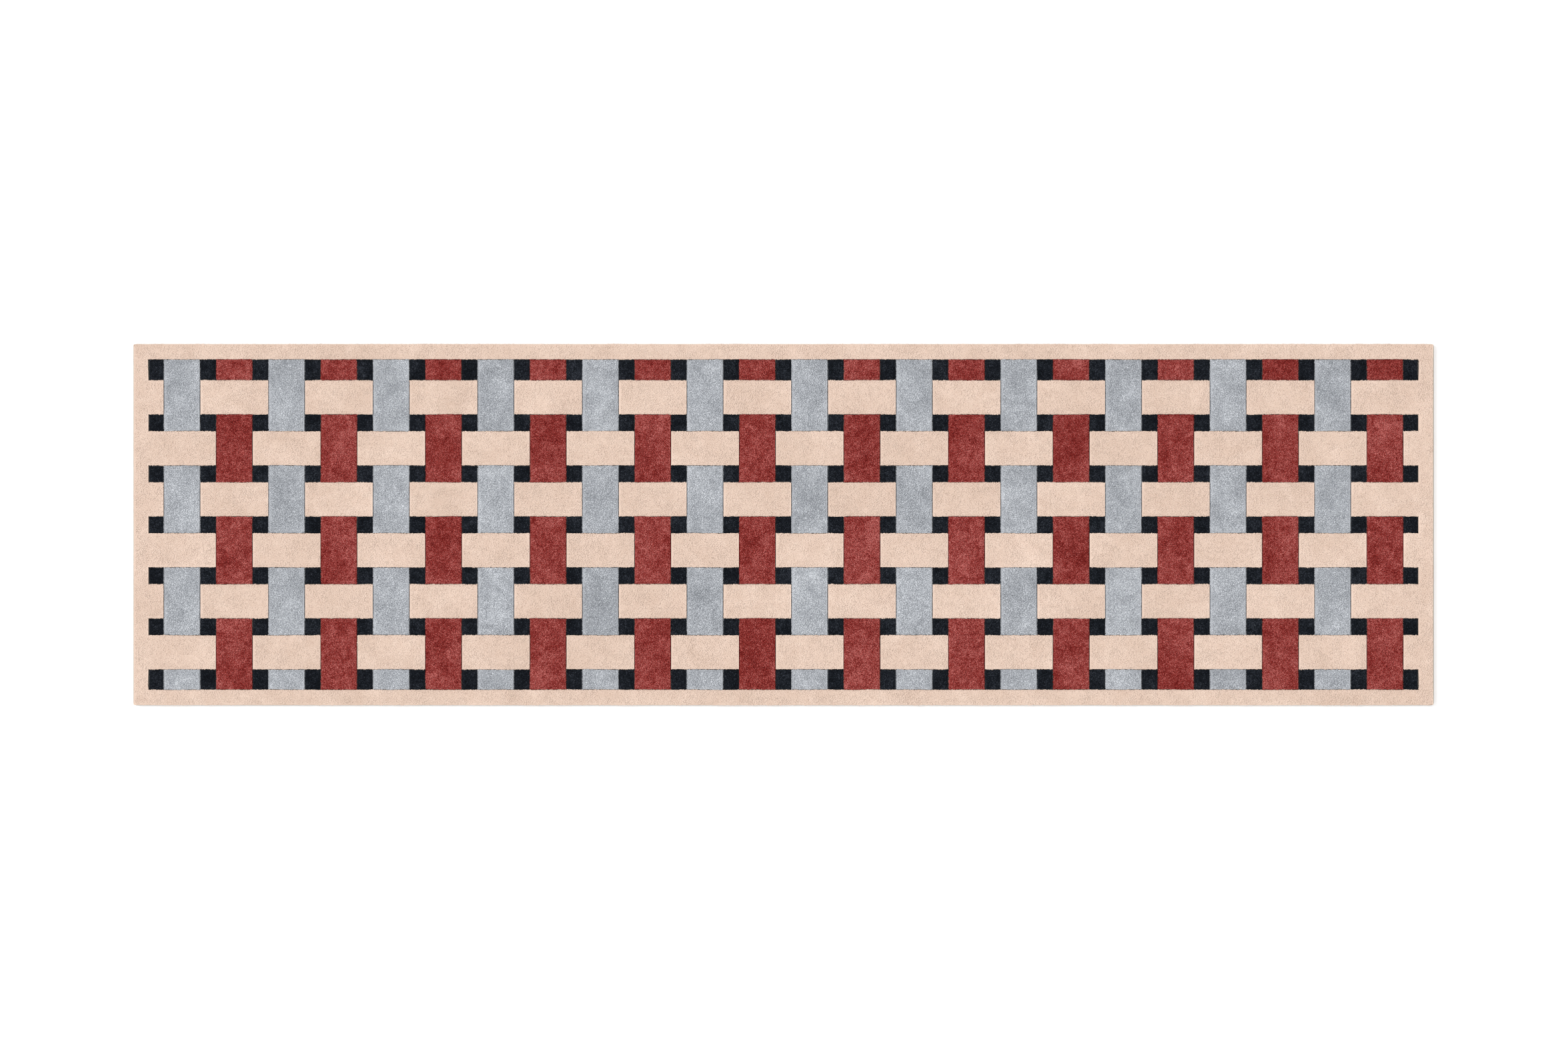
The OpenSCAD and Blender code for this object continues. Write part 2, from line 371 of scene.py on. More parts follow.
def ring(radius, height, ragged):
    """One ring of yarn ends. In a ragged one each end stands a little off its place."""
    places = []
    for k in range(TUFT_SIDES):
        astray = RAGGED_TURN * ragged * math.sin(2.1 * k)
        turn = 2 * math.pi * (k + astray) / TUFT_SIDES
        reach = radius * (1 + RAGGED_REACH * ragged * math.sin(2.6 * k + 0.7))
        level = height + RAGGED_LEVEL * ragged * math.sin(3.7 * k)
        places.append((reach * math.cos(turn), reach * math.sin(turn), level))
    return places


def tuft_shape(name, rings):
    """A closed bunch of yarn of unit size, from a root point through rings to a tip point."""
    places = [(0, 0, 0)]
    for number, (radius, height) in enumerate(rings):
        places += ring(radius, height, ragged=1.0 if number == len(rings) - 1 else 0.0)
    places.append(TUFT_TIP)
    last = len(places) - 1
    faces = []
    for k in range(TUFT_SIDES):
        beside = (k + 1) % TUFT_SIDES
        faces.append((0, 1 + beside, 1 + k))
        for level in range(len(rings) - 1):
            low = 1 + level * TUFT_SIDES
            high = low + TUFT_SIDES
            faces.append((low + k, low + beside, high + beside, high + k))
        top = 1 + (len(rings) - 1) * TUFT_SIDES
        faces.append((top + k, top + beside, last))
    mesh = bpy.data.meshes.new(name)
    mesh.from_pydata(places, [], faces)
    mesh.polygons.foreach_set("use_smooth", [True] * len(mesh.polygons))
    # The tip value, the height up the tuft, sets where the yarn paints shade towards the root.
    tips = mesh.attributes.new("tip", "FLOAT", "POINT")
    tips.data.foreach_set("value", [place[2] for place in places])
    return bpy.data.objects.new(name, mesh)


field_tuft = tuft_shape("field_tuft", [(1.0, 0.93)])
edge_tuft = tuft_shape("edge_tuft", [(0.80, 0.03), (1.0, 0.95)])
print("a tuft has", len(field_tuft.data.polygons), "faces")
print("a tall one at the rug's edge has", len(edge_tuft.data.polygons))

# %% [markdown]
# ## The pile
# A worker fills a colour field by following its outline first and then working to and fro inside
# it. The tree below does the same with any block of the model. It takes the block's foot, sets one
# row of tufts along its outline, fills the inside with staggered rows that wander, and reads the
# sheared height from the block's top by casting a ray down on it. Each tuft gets its own
# height, turn and lean, and the outline row leans out over the carved line. Placing points by hand
# would need every outline as numbers, while this reads it from the frame.

# %% Pile tree
pile_tree, pile_in, pile_out = new_group(
    "cut_pile", "GeometryNodeTree",
    [("Block", "NodeSocketGeometry", None), ("Field Tuft", "NodeSocketObject", None),
     ("Edge Tuft", "NodeSocketObject", None), ("Yarn", "NodeSocketMaterial", None),
     ("Pitch", "NodeSocketFloat", 0.0033), ("Outline Inset", "NodeSocketFloat", 0.00145),
     ("Carve Width", "NodeSocketFloat", 0.0013), ("Carve Drop", "NodeSocketFloat", 0.0018),
     ("Tuft Radius", "NodeSocketFloat", 0.0025), ("Tuft Length", "NodeSocketFloat", 0.0045),
     ("Height Spread", "NodeSocketFloat", 0.0003), ("Lean Spread", "NodeSocketFloat", 0.14),
     ("Edge Lean", "NodeSocketFloat", 0.06), ("Nap", "NodeSocketVector", (0.03, -0.10, 0.0)),
     ("Bed Drop", "NodeSocketFloat", 0.0008), ("Bed Spread", "NodeSocketFloat", 0.0011),
     ("Rug Half Size", "NodeSocketVector", (1.0, 1.0, 0.0)), ("Seed", "NodeSocketInt", 0)],
    [("Pile", "NodeSocketGeometry")],
)


def random_vector(tree, low, high, seed):
    """A vector of its own for every point."""
    made = add_node(tree, "FunctionNodeRandomValue", {0: low, 1: high, "Seed": seed},
                    data_type="FLOAT_VECTOR")
    return made.outputs[0]


def random_float(tree, low, high, seed):
    """A number of its own for every point."""
    made = add_node(tree, "FunctionNodeRandomValue", {2: low, 3: high, "Seed": seed},
                    data_type="FLOAT")
    return made.outputs[1]


def combine(tree, x=0.0, y=0.0, z=0.0):
    return add_node(tree, "ShaderNodeCombineXYZ", {"X": x, "Y": y, "Z": z}).outputs[0]


def separate(tree, vector):
    return add_node(tree, "ShaderNodeSeparateXYZ", {"Vector": vector}).outputs


def scaled(tree, vector, amount):
    return add_node(tree, "ShaderNodeVectorMath", {0: vector, "Scale": amount},
                    operation="SCALE").outputs["Vector"]


def moved(tree, geometry, offset):
    return add_node(tree, "GeometryNodeSetPosition",
                    {"Geometry": geometry, "Offset": offset}).outputs[0]


def look_down(tree, target, start, reach):
    """A ray straight down on the target: the place it hits, the normal there and whether it hit."""
    made = add_node(tree, "GeometryNodeRaycast", {
        "Target Geometry": target, "Source Position": start,
        "Ray Direction": (0.0, 0.0, -1.0), "Ray Length": reach})
    return made.outputs["Hit Position"], made.outputs["Hit Normal"], made.outputs["Is Hit"]


def store(tree, geometry, name, kind, value):
    """Keeps a value on every point under a name."""
    made = add_node(tree, "GeometryNodeStoreNamedAttribute",
                    {"Geometry": geometry, "Name": name}, data_type=kind, domain="POINT")
    socket = next(s for s in made.inputs if s.name == "Value" and s.enabled)
    tree.links.new(value, socket)
    return made.outputs[0]


def named(tree, name, kind):
    """Reads a value that was kept under a name."""
    made = add_node(tree, "GeometryNodeInputNamedAttribute", {"Name": name}, data_type=kind)
    return next(s for s in made.outputs if s.name == "Attribute" and s.enabled)


print("tree helpers ready")

# %% Outline row
# Rays that look for the foot start a step to one side and just above it.
STEP_IN = 0.0006
JUST_ABOVE = 0.001
# Tufts on the outline stand a little closer together than the pitch.
OUTLINE_PITCH = 0.85


def outline_of_foot(tree, block):
    """The block's flat foot, and the edges round it."""
    normal = add_node(tree, "GeometryNodeInputNormal").outputs["Normal"]
    downward = maths(tree, "LESS_THAN", separate(tree, normal)[2], -0.9)
    foot = add_node(tree, "GeometryNodeSeparateGeometry",
                    {"Geometry": block, "Selection": downward}, domain="FACE").outputs[0]
    sides = add_node(tree, "GeometryNodeInputMeshEdgeNeighbors").outputs["Face Count"]
    border = maths(tree, "COMPARE", sides, 1.0, 0.5)
    rim = add_node(tree, "GeometryNodeSeparateGeometry",
                   {"Geometry": foot, "Selection": border}, domain="EDGE").outputs[0]
    return foot, rim


def outline_row(tree, given, foot, rim):
    """Points along the outline, moved in by the inset, each with its outward direction."""
    line = add_node(tree, "GeometryNodeMeshToCurve", {"Mesh": rim}).outputs["Curve"]
    line = add_node(tree, "GeometryNodeResampleCurve",
                    {"Curve": line, "Length": maths(tree, "MULTIPLY", given["Pitch"], OUTLINE_PITCH)},
                    mode="LENGTH").outputs["Curve"]
    here = add_node(tree, "GeometryNodeInputPosition").outputs[0]
    along = add_node(tree, "GeometryNodeInputTangent").outputs[0]
    across = vector_maths(
        tree, "NORMALIZE", vector_maths(tree, "CROSS_PRODUCT", along, (0.0, 0.0, 1.0)))
    # A ray just to one side of the outline tells which side is the inside.
    step = vector_maths(tree, "MULTIPLY", across, (STEP_IN, STEP_IN, 0.0))
    start = vector_maths(
        tree, "ADD", vector_maths(tree, "ADD", here, step), (0.0, 0.0, JUST_ABOVE))
    inside = look_down(tree, foot, start, 2 * JUST_ABOVE)[2]
    outward = scaled(tree, across, maths(tree, "MULTIPLY_ADD", inside, -2.0, 1.0))
    line = store(tree, line, "outward", "FLOAT_VECTOR", outward)
    back = scaled(tree, named(tree, "outward", "FLOAT_VECTOR"),
                  maths(tree, "MULTIPLY", given["Outline Inset"], -1.0))
    line = moved(tree, line, back)
    points = add_node(tree, "GeometryNodeCurveToPoints", {"Curve": line},
                      mode="EVALUATED").outputs["Points"]
    near = maths(tree, "MULTIPLY", given["Pitch"], 0.5)
    return add_node(tree, "GeometryNodeMergeByDistance",
                    {"Geometry": points, "Distance": near}).outputs[0]


block_foot, block_rim = outline_of_foot(pile_tree, pile_in["Block"])
rim_points = outline_row(pile_tree, pile_in, block_foot, block_rim)
print("the tree sets an outline row")

# %% Filling
# All in pitches: from row to row, from the outline row to the first row, and the least there.
ROW_PITCH = 0.866
FIRST_ROW = 0.85
NEAREST = 0.8 * FIRST_ROW


def filling(tree, given, foot, rim):
    """Staggered rows of points over the inside of the block."""
    pitch = given["Pitch"]
    row_pitch = maths(tree, "MULTIPLY", pitch, ROW_PITCH)
    box = add_node(tree, "GeometryNodeBoundBox", {"Geometry": foot}).outputs
    size = vector_maths(tree, "SUBTRACT", box["Max"], box["Min"])
    middle = vector_maths(tree, "MULTIPLY", vector_maths(tree, "ADD", box["Min"], box["Max"]),
                          (0.5, 0.5, 0.5))
    margin = maths(tree, "MULTIPLY_ADD", pitch, FIRST_ROW, given["Outline Inset"])
    margin = maths(tree, "MULTIPLY", margin, 2.0)
    wide = maths(tree, "SUBTRACT", separate(tree, size)[0], margin)
    deep = maths(tree, "SUBTRACT", separate(tree, size)[1], margin)
    columns = maths(tree, "ADD", maths(tree, "ROUND", maths(tree, "DIVIDE", wide, pitch)), 1.0)
    rows = maths(tree, "ADD", maths(tree, "ROUND", maths(tree, "DIVIDE", deep, row_pitch)), 1.0)
    net = add_node(tree, "GeometryNodeMeshGrid", {
        "Size X": wide, "Size Y": deep, "Vertices X": columns, "Vertices Y": rows}).outputs["Mesh"]
    net = add_node(tree, "GeometryNodeMeshToPoints", {"Mesh": net}).outputs["Points"]
    # Every second row is staggered by half a pitch.
    number = add_node(tree, "GeometryNodeInputIndex").outputs[0]
    odd = maths(tree, "MODULO", maths(tree, "MODULO", number, rows), 2.0)
    stagger = maths(tree, "MULTIPLY", maths(tree, "SUBTRACT", odd, 0.5), pitch)
    stagger = maths(tree, "MULTIPLY", stagger, 0.5)
    offset = vector_maths(tree, "ADD", middle, combine(tree, x=stagger))
    net = moved(tree, net, offset)
    # Only the points over the foot and clear of the outline row stay.
    here = add_node(tree, "GeometryNodeInputPosition").outputs[0]
    start = vector_maths(tree, "ADD", here, (0.0, 0.0, JUST_ABOVE))
    outside = maths(tree, "SUBTRACT", 1.0, look_down(tree, foot, start, 2 * JUST_ABOVE)[2])
    gap = add_node(tree, "GeometryNodeProximity", {"Geometry": rim},
                   target_element="EDGES").outputs["Distance"]
    keep_off = maths(tree, "MULTIPLY_ADD", pitch, NEAREST, given["Outline Inset"])
    unwanted = maths(tree, "MAXIMUM", outside, maths(tree, "LESS_THAN", gap, keep_off))
    return add_node(tree, "GeometryNodeDeleteGeometry",
                    {"Geometry": net, "Selection": unwanted}, domain="POINT").outputs[0]


field_points = filling(pile_tree, pile_in, block_foot, block_rim)
print("the tree fills the inside")

# %% Sheared height
ABOVE = 0.05
# Where the block's normal points up less than this, the pile is carved.
CARVED_SLOPE = 0.97
# The tall tufts stand this many outline insets from the rug's edge, or less.
EDGE_BAND = 1.6
LIGHT_CARVE = 0.0012


def join(tree, *parts):
    made = add_node(tree, "GeometryNodeJoinGeometry")
    for part in parts:
        tree.links.new(part, made.inputs[0])
    return made.outputs[0]


def standing_points(tree, given, points):
    """The points at their sheared height, with `edge`, 1 beside a carved line, and `rug_edge`."""
    here = add_node(tree, "GeometryNodeInputPosition").outputs[0]
    outward = named(tree, "outward", "FLOAT_VECTOR")
    # A carved side has its bevel just inside the outline. A joint of one yarn has none, and the
    # tufts along it don't lean out.
    outmost = maths(tree, "SUBTRACT", given["Outline Inset"], STEP_IN)
    beside = vector_maths(tree, "ADD", here, scaled(tree, outward, outmost))
    above = vector_maths(tree, "ADD", beside, (0.0, 0.0, ABOVE))
    slope = separate(tree, look_down(tree, given["Block"], above, 2 * ABOVE)[1])[2]
    carved = maths(tree, "LESS_THAN", slope, CARVED_SLOPE)
    points = store(tree, points, "outward", "FLOAT_VECTOR", scaled(tree, outward, carved))
    points = store(tree, points, "edge", "FLOAT", vector_maths(tree, "LENGTH", outward))
    # The rug's own outer edge gets tufts down to the cloth.
    place = separate(tree, here)
    half = separate(tree, given["Rug Half Size"])
    from_end = maths(tree, "SUBTRACT", half[0], maths(tree, "ABSOLUTE", place[0]))
    from_side = maths(tree, "SUBTRACT", half[1], maths(tree, "ABSOLUTE", place[1]))
    nearest = maths(tree, "MINIMUM", from_end, from_side)
    limit = maths(tree, "MULTIPLY", given["Outline Inset"], EDGE_BAND)
    points = store(tree, points, "rug_edge", "BOOLEAN", maths(tree, "LESS_THAN", nearest, limit))
    # A ray down on the block's top finds the height. Sides along the rug were carved lightly, so
    # there the ray looks a little further in.
    lengthwise = maths(tree, "SUBTRACT", 1.0, maths(tree, "ABSOLUTE", separate(tree, outward)[0]))
    inward = scaled(tree, outward, maths(tree, "MULTIPLY", lengthwise, -LIGHT_CARVE))
    start = vector_maths(tree, "ADD", vector_maths(tree, "ADD", here, inward), (0.0, 0.0, ABOVE))
    spot, _, hit = look_down(tree, given["Block"], start, 2 * ABOVE)
    points = add_node(tree, "GeometryNodeDeleteGeometry", {
        "Geometry": points, "Selection": maths(tree, "SUBTRACT", 1.0, hit)},
        domain="POINT").outputs[0]
    level = combine(tree, place[0], place[1], separate(tree, spot)[2])
    return add_node(tree, "GeometryNodeSetPosition",
                    {"Geometry": points, "Position": level}).outputs[0]


ready_points = standing_points(pile_tree, pile_in, join(pile_tree, rim_points, field_points))
print("the tree shears the pile")

# %% Uneven hand
# Waves in each metre, and how far they reach in metres.
WANDER = (14.0, 0.0022)
SCALLOP = (150.0, 0.0016)
# The chance part is a share of the pitch, and most of it is gone beside a carved line.
ASTRAY = 0.30
STEADY_AT_EDGE = 0.6


def wandering(tree, here, scale, reach):
    """A smooth sideways shift that depends only on the place, so neighbouring blocks share it."""
    noise = add_node(tree, "ShaderNodeTexNoise", {"Vector": here, "Scale": scale, "Detail": 1.0})
    shift = vector_maths(tree, "SUBTRACT", noise.outputs["Color"], (0.5, 0.5, 0.5))
    return vector_maths(tree, "MULTIPLY", shift, (reach, reach, 0.0))


def uneven_hand(tree, given, points):
    """The small wander of a hand-held gun, the same for neighbouring blocks, and uneven shearing."""
    here = add_node(tree, "GeometryNodeInputPosition").outputs[0]
    wander = wandering(tree, here, *WANDER)
    scallop = wandering(tree, here, *SCALLOP)
    # Tufts in the field stand further off their row than those beside a carved line.
    free = maths(tree, "MULTIPLY_ADD", named(tree, "edge", "FLOAT"), -STEADY_AT_EDGE, 1.0)
    astray = maths(tree, "MULTIPLY", maths(tree, "MULTIPLY", given["Pitch"], ASTRAY), free)
    jitter = random_vector(tree, (-1.0, -1.0, 0.0), (1.0, 1.0, 0.0), given["Seed"])
    jitter = scaled(tree, jitter, astray)
    outward = named(tree, "outward", "FLOAT_VECTOR")
    sideways = maths(tree, "ABSOLUTE", separate(tree, outward)[0])
    carved = maths(tree, "MULTIPLY", sideways, named(tree, "edge", "FLOAT"))
    inward = maths(tree, "MULTIPLY", maths(tree, "MULTIPLY", carved, given["Carve Width"]), -1.0)
    away = scaled(tree, outward, inward)
    drop = maths(tree, "MULTIPLY", carved, given["Carve Drop"])
    uneven = maths(tree, "MULTIPLY", random_float(tree, -1.0, 0.2, 7), given["Height Spread"])
    rise = combine(tree, z=maths(tree, "SUBTRACT", uneven, drop))
    offset = vector_maths(tree, "ADD", vector_maths(tree, "ADD", wander, scallop), rise)
    offset = vector_maths(tree, "ADD", vector_maths(tree, "ADD", offset, jitter), away)
    return moved(tree, points, offset)


ready_points = uneven_hand(pile_tree, pile_in, ready_points)
print("the tree moves each tuft a little off its place")

# %% Lean and tuft
DRIFTS_PER_METRE = 38.0
DRIFT_LEAN = 0.9
HELD_UPRIGHT = 0.75
SLIM_AT_EDGE = 0.18
SLIM_AT_RUG_EDGE = 0.16


def lean_of_tuft(tree, given):
    """Which way a tuft points: the nap, a drift from field to field, its own chance and the edge."""
    here = add_node(tree, "GeometryNodeInputPosition").outputs[0]
    drift = add_node(tree, "ShaderNodeTexNoise", {
        "Vector": here, "Scale": DRIFTS_PER_METRE, "Detail": 2.0}).outputs["Color"]
    drift = vector_maths(tree, "SUBTRACT", drift, (0.5, 0.5, 0.5))
    drift = vector_maths(tree, "MULTIPLY", drift, (DRIFT_LEAN, DRIFT_LEAN, 0.0))
    own = random_vector(tree, (-1.0, -1.0, 0.0), (1.0, 1.0, 0.0), 3)
    own = scaled(tree, own, given["Lean Spread"])
    edge = scaled(tree, named(tree, "outward", "FLOAT_VECTOR"), given["Edge Lean"])
    total = vector_maths(tree, "ADD", vector_maths(tree, "ADD", given["Nap"], drift),
                         vector_maths(tree, "ADD", own, edge))
    # The tall tufts at the rug's edge stand nearly upright, so that its outline stays straight.
    upright = maths(tree, "MULTIPLY_ADD", named(tree, "rug_edge", "BOOLEAN"), -HELD_UPRIGHT, 1.0)
    total = scaled(tree, total, upright)
    return vector_maths(tree, "ADD", total, (0.0, 0.0, 1.0))


def tufts_on(tree, given, points, shape, keep):
    """Tufts on the kept points, hung from their tips so that the shears set the height."""
    turn = add_node(tree, "FunctionNodeEulerToRotation", {
        0: combine(tree, z=random_float(tree, 0.0, 6.283, 5))}).outputs[0]
    lean = lean_of_tuft(tree, given)
    turn = add_node(tree, "FunctionNodeAlignRotationToVector", {
        "Rotation": turn, "Vector": lean}, axis="Z").outputs[0]
    length = named(tree, "length", "FLOAT")
    girth = maths(tree, "MULTIPLY", random_float(tree, 0.88, 1.14, 11), given["Tuft Radius"])
    slim = maths(tree, "MULTIPLY_ADD", named(tree, "edge", "FLOAT"), -SLIM_AT_EDGE, 1.0)
    slim = maths(
        tree, "MULTIPLY_ADD", named(tree, "rug_edge", "BOOLEAN"), -SLIM_AT_RUG_EDGE, slim)
    girth = maths(tree, "MULTIPLY", girth, slim)
    size = combine(tree, girth, girth, length)
    down = scaled(
        tree, vector_maths(tree, "NORMALIZE", lean), maths(tree, "MULTIPLY", length, -1.0))
    points = add_node(tree, "GeometryNodeSetPosition",
                      {"Geometry": points, "Selection": keep, "Offset": down}).outputs[0]
    source = add_node(tree, "GeometryNodeObjectInfo", {"Object": shape}).outputs["Geometry"]
    return add_node(tree, "GeometryNodeInstanceOnPoints", {
        "Points": points, "Selection": keep, "Instance": source, "Rotation": turn,
        "Scale": size}).outputs[0]


root_place = add_node(pile_tree, "GeometryNodeInputPosition").outputs[0]
ready_points = store(pile_tree, ready_points, "root", "FLOAT_VECTOR", root_place)
ready_points = store(
    pile_tree, ready_points, "tone", "FLOAT", random_float(pile_tree, 0.0, 1.0, 21))
at_rug_edge = named(pile_tree, "rug_edge", "BOOLEAN")
not_at_edge = add_node(
    pile_tree, "FunctionNodeBooleanMath", {0: at_rug_edge}, operation="NOT").outputs[0]
block_corner = add_node(
    pile_tree, "GeometryNodeBoundBox", {"Geometry": pile_in["Block"]}).outputs["Min"]
cloth_height = separate(pile_tree, block_corner)[2]
down_to_cloth = maths(
    pile_tree, "SUBTRACT", separate(pile_tree, root_place)[2], cloth_height)
tuft_length = add_node(pile_tree, "GeometryNodeSwitch", {
    "Switch": at_rug_edge, "False": pile_in["Tuft Length"], "True": down_to_cloth},
    input_type="FLOAT").outputs[0]
ready_points = store(pile_tree, ready_points, "length", "FLOAT", tuft_length)
short_tufts = tufts_on(pile_tree, pile_in, ready_points, pile_in["Field Tuft"], not_at_edge)
tall_tufts = tufts_on(pile_tree, pile_in, ready_points, pile_in["Edge Tuft"], at_rug_edge)
print("the tree stands the tufts up")

# %% Bed and end of the tree
# How far up a normal points tells a corner of the block's top from one of its side.
FACES_UP = 0.8
FACES_ASIDE = 0.5
# The sides are drawn in by this many bed spreads, and a corner moves along its diagonal.
DRAWN_IN = 2.0
CORNER_REACH = 1.414
ABOVE_FOOT = 0.0005
# The bed carries the painted shade of the gaps between tufts: its top takes this tip and tone, its
# foot none.
BED_TIP = 0.7
BED_TONE = 0.5


def bed_of_pile(tree, given):
    """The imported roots: the block lowered, its top spread and its sides drawn in under the tufts."""
    normal = separate(tree, add_node(tree, "GeometryNodeInputNormal").outputs["Normal"])
    flat = vector_maths(tree, "NORMALIZE", combine(tree, normal[0], normal[1], 0.0))
    on_top = maths(tree, "GREATER_THAN", normal[2], FACES_UP)
    on_side = maths(tree, "LESS_THAN", normal[2], FACES_ASIDE)
    side = maths(tree, "SUBTRACT", on_top, maths(tree, "MULTIPLY", on_side, DRAWN_IN))
    reach = maths(tree, "MULTIPLY", side, given["Bed Spread"])
    spread = scaled(tree, flat, maths(tree, "MULTIPLY", reach, CORNER_REACH))
    foot = separate(tree, add_node(
        tree, "GeometryNodeBoundBox", {"Geometry": given["Block"]}).outputs["Min"])[2]
    here = separate(tree, add_node(tree, "GeometryNodeInputPosition").outputs[0])
    raised = maths(tree, "GREATER_THAN", here[2], maths(tree, "ADD", foot, ABOVE_FOOT))
    lower = maths(tree, "MULTIPLY", raised, maths(tree, "MULTIPLY", given["Bed Drop"], -1.0))
    offset = vector_maths(tree, "ADD", spread, combine(tree, z=lower))
    # Painted shade: with a tip below 1 on its top and none at its foot, the bed comes out darker than
    # the tufts' tips.
    bed = store(tree, given["Block"], "tip", "FLOAT", maths(tree, "MULTIPLY", raised, BED_TIP))
    bed = store(tree, bed, "tone", "FLOAT", maths(tree, "MULTIPLY", raised, BED_TONE))
    return moved(tree, bed, offset)


whole_pile = join(pile_tree, bed_of_pile(pile_tree, pile_in), short_tufts, tall_tufts)
whole_pile = add_node(
    pile_tree, "GeometryNodeRealizeInstances", {"Geometry": whole_pile}).outputs[0]
whole_pile = add_node(pile_tree, "GeometryNodeSetMaterial", {
    "Geometry": whole_pile, "Material": pile_in["Yarn"]}).outputs[0]
pile_tree.links.new(whole_pile, pile_out["Pile"])
print("pile tree has", len(pile_tree.nodes), "nodes")

# %% [markdown]
# ## Growing each block
# Every block of the model becomes one pile piece of its own yarn. A copy of the block has its loose
# triangles merged, carries the tree for a moment, and the result is taken off as a plain mesh. The
# mesh also gets a map of its own: the piece is cut across into short lengths that lie under each
# other on the map, so that a baked picture has enough room for every tuft.

# %% Growing helpers
SAME_CORNER = 1e-6


def merged_copy(node):
    """A copy of a node's mesh whose triangles share their corners."""
    shape = bmesh.new()
    shape.from_mesh(node.data)
    bmesh.ops.remove_doubles(shape, verts=shape.verts, dist=SAME_CORNER)
    mesh = bpy.data.meshes.new(node.name + "_block")
    shape.to_mesh(mesh)
    shape.free()
    return mesh


def input_ids(tree):
    """The identifiers of a tree's inputs, by their names."""
    return {s.name: s.identifier for s in tree.interface.items_tree if s.in_out == "INPUT"}


def keep_one_material(mesh):
    """Drops the empty material places, so that only the one the tree has set is left."""
    used = mesh.materials[mesh.polygons[0].material_index]
    mesh.materials.clear()
    mesh.materials.append(used)
    mesh.polygons.foreach_set("material_index", [0] * len(mesh.polygons))


def taken_off(carrier, name):
    """The carrier's finished shape as a plain mesh. The carrier and its modifier go."""
    seen = carrier.evaluated_get(bpy.context.evaluated_depsgraph_get())
    mesh = bpy.data.meshes.new_from_object(seen)
    mesh.name = name
    base = carrier.data
    bpy.data.objects.remove(carrier)
    bpy.data.meshes.remove(base)
    return mesh


def grown(name, base, tree, values):
    """Puts a tree on a base mesh, sets its inputs and returns the result as a plain object."""
    carrier = put_in_scene(name + "_carrier", base)
    modifier = carrier.modifiers.new("grow", "NODES")
    modifier.node_group = tree
    ids = input_ids(tree)
    for title, value in values.items():
        modifier[ids[title]] = value
    mesh = taken_off(carrier, name)
    keep_one_material(mesh)
    return put_in_scene(name, mesh)


print("blocks can be grown")

# %% Map of a pile piece
MAP_LENGTH = 0.115
MAP_MARGIN = 0.03


def vectors_of(values, key):
    """One vector for each of a mesh's values, as rows of an array."""
    flat = np.empty(len(values) * 3, np.float32)
    values.foreach_get(key, flat)
    return flat.reshape(-1, 3)


def lay_map(piece):
    """Gives a pile piece its map: short lengths of the piece, one row of the map for each."""
    mesh = piece.data
    place = vectors_of(mesh.vertices, "co")
    root = vectors_of(mesh.attributes["root"].data, "vector")
    # The bed has no root of its own, so its corners go by their place.
    bed = ~root.any(axis=1)
    root[bed] = place[bed]
    low = place.min(axis=0)
    high = place.max(axis=0)
    long_axis = 0 if high[0] - low[0] > high[1] - low[1] else 1
    cross_axis = 1 - long_axis
    span = high - low
    rows = max(1, round(float(span[long_axis]) / MAP_LENGTH))
    length = span[long_axis] / rows
    row = np.clip(((root[:, long_axis] - low[long_axis]) / length).astype(int), 0, rows - 1)
    along = (place[:, long_axis] - low[long_axis]) / length - row
    across = (place[:, cross_axis] - low[cross_axis]) / span[cross_axis]
    inner = 1 - 2 * MAP_MARGIN
    u = MAP_MARGIN + inner * np.clip(along, -MAP_MARGIN, 1 + MAP_MARGIN)
    v = (row + MAP_MARGIN + inner * across) / rows
    corner = np.empty(len(mesh.loops), np.int32)
    mesh.loops.foreach_get("vertex_index", corner)
    layer = mesh.uv_layers.new(name="OFBake", do_init=False)
    layer.uv.foreach_set("vector", np.stack([u, v], 1)[corner].astype(np.float32).ravel())
    mesh.attributes.remove(mesh.attributes["root"])


print("rows of the map are about", MAP_LENGTH, "m of the piece")

# %% Grow the pile
pile_colours = {
    "grey_strip": "grey", "red_strip": "red", "cream_band": "cream",
    "dark_row": "dark", "cream_border": "cream",
}
# The strips stand a little taller than what is beside them, so their sides flare out over it.
FLARE = {"grey_strip": 0.0014, "red_strip": 0.0005}
FLARE_LEAN = 0.16
# The cream yarn is packed closer, so its bed lies less deep.
CREAM_BED_DROP = 0.0005
for number, node_name in enumerate(sorted(nodes)):
    kind = next((k for k in pile_colours if node_name.startswith(k)), None)
    if kind is None:
        continue
    colour = pile_colours[kind]
    values = {
        "Field Tuft": field_tuft, "Edge Tuft": edge_tuft, "Yarn": yarns[colour],
        "Rug Half Size": (rug_length / 2, rug_width / 2, 0.0), "Seed": number,
    }
    if colour == "cream":
        values["Bed Drop"] = CREAM_BED_DROP
    if kind in FLARE:
        values["Carve Width"] = -FLARE[kind]
        values["Edge Lean"] = FLARE_LEAN
    piece = grown(node_name + "_pile", merged_copy(nodes[node_name]), pile_tree, values)
    lay_map(piece)
    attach(piece, "root")
    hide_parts(node_name)
    print(node_name, len(piece.data.polygons), "faces")

# %% [markdown]
# ## Woven cloth as a material
# Three cloths of the back are woven: a stout plain weave carries the tufts, a canvas closes the back
# and a twill tape binds the edge. One shader group weaves them all. It counts threads both ways from
# a place it is given, decides which thread lies on top, and puts out the colour, the roughness and
# the height. A tape that runs round a corner needs a place that follows it, so the place is an input.

# %% Weave group
TWILL_REPEAT = 4.0
SLUBS_PER_METRE = 140.0
STAINS_PER_METRE = 6.0

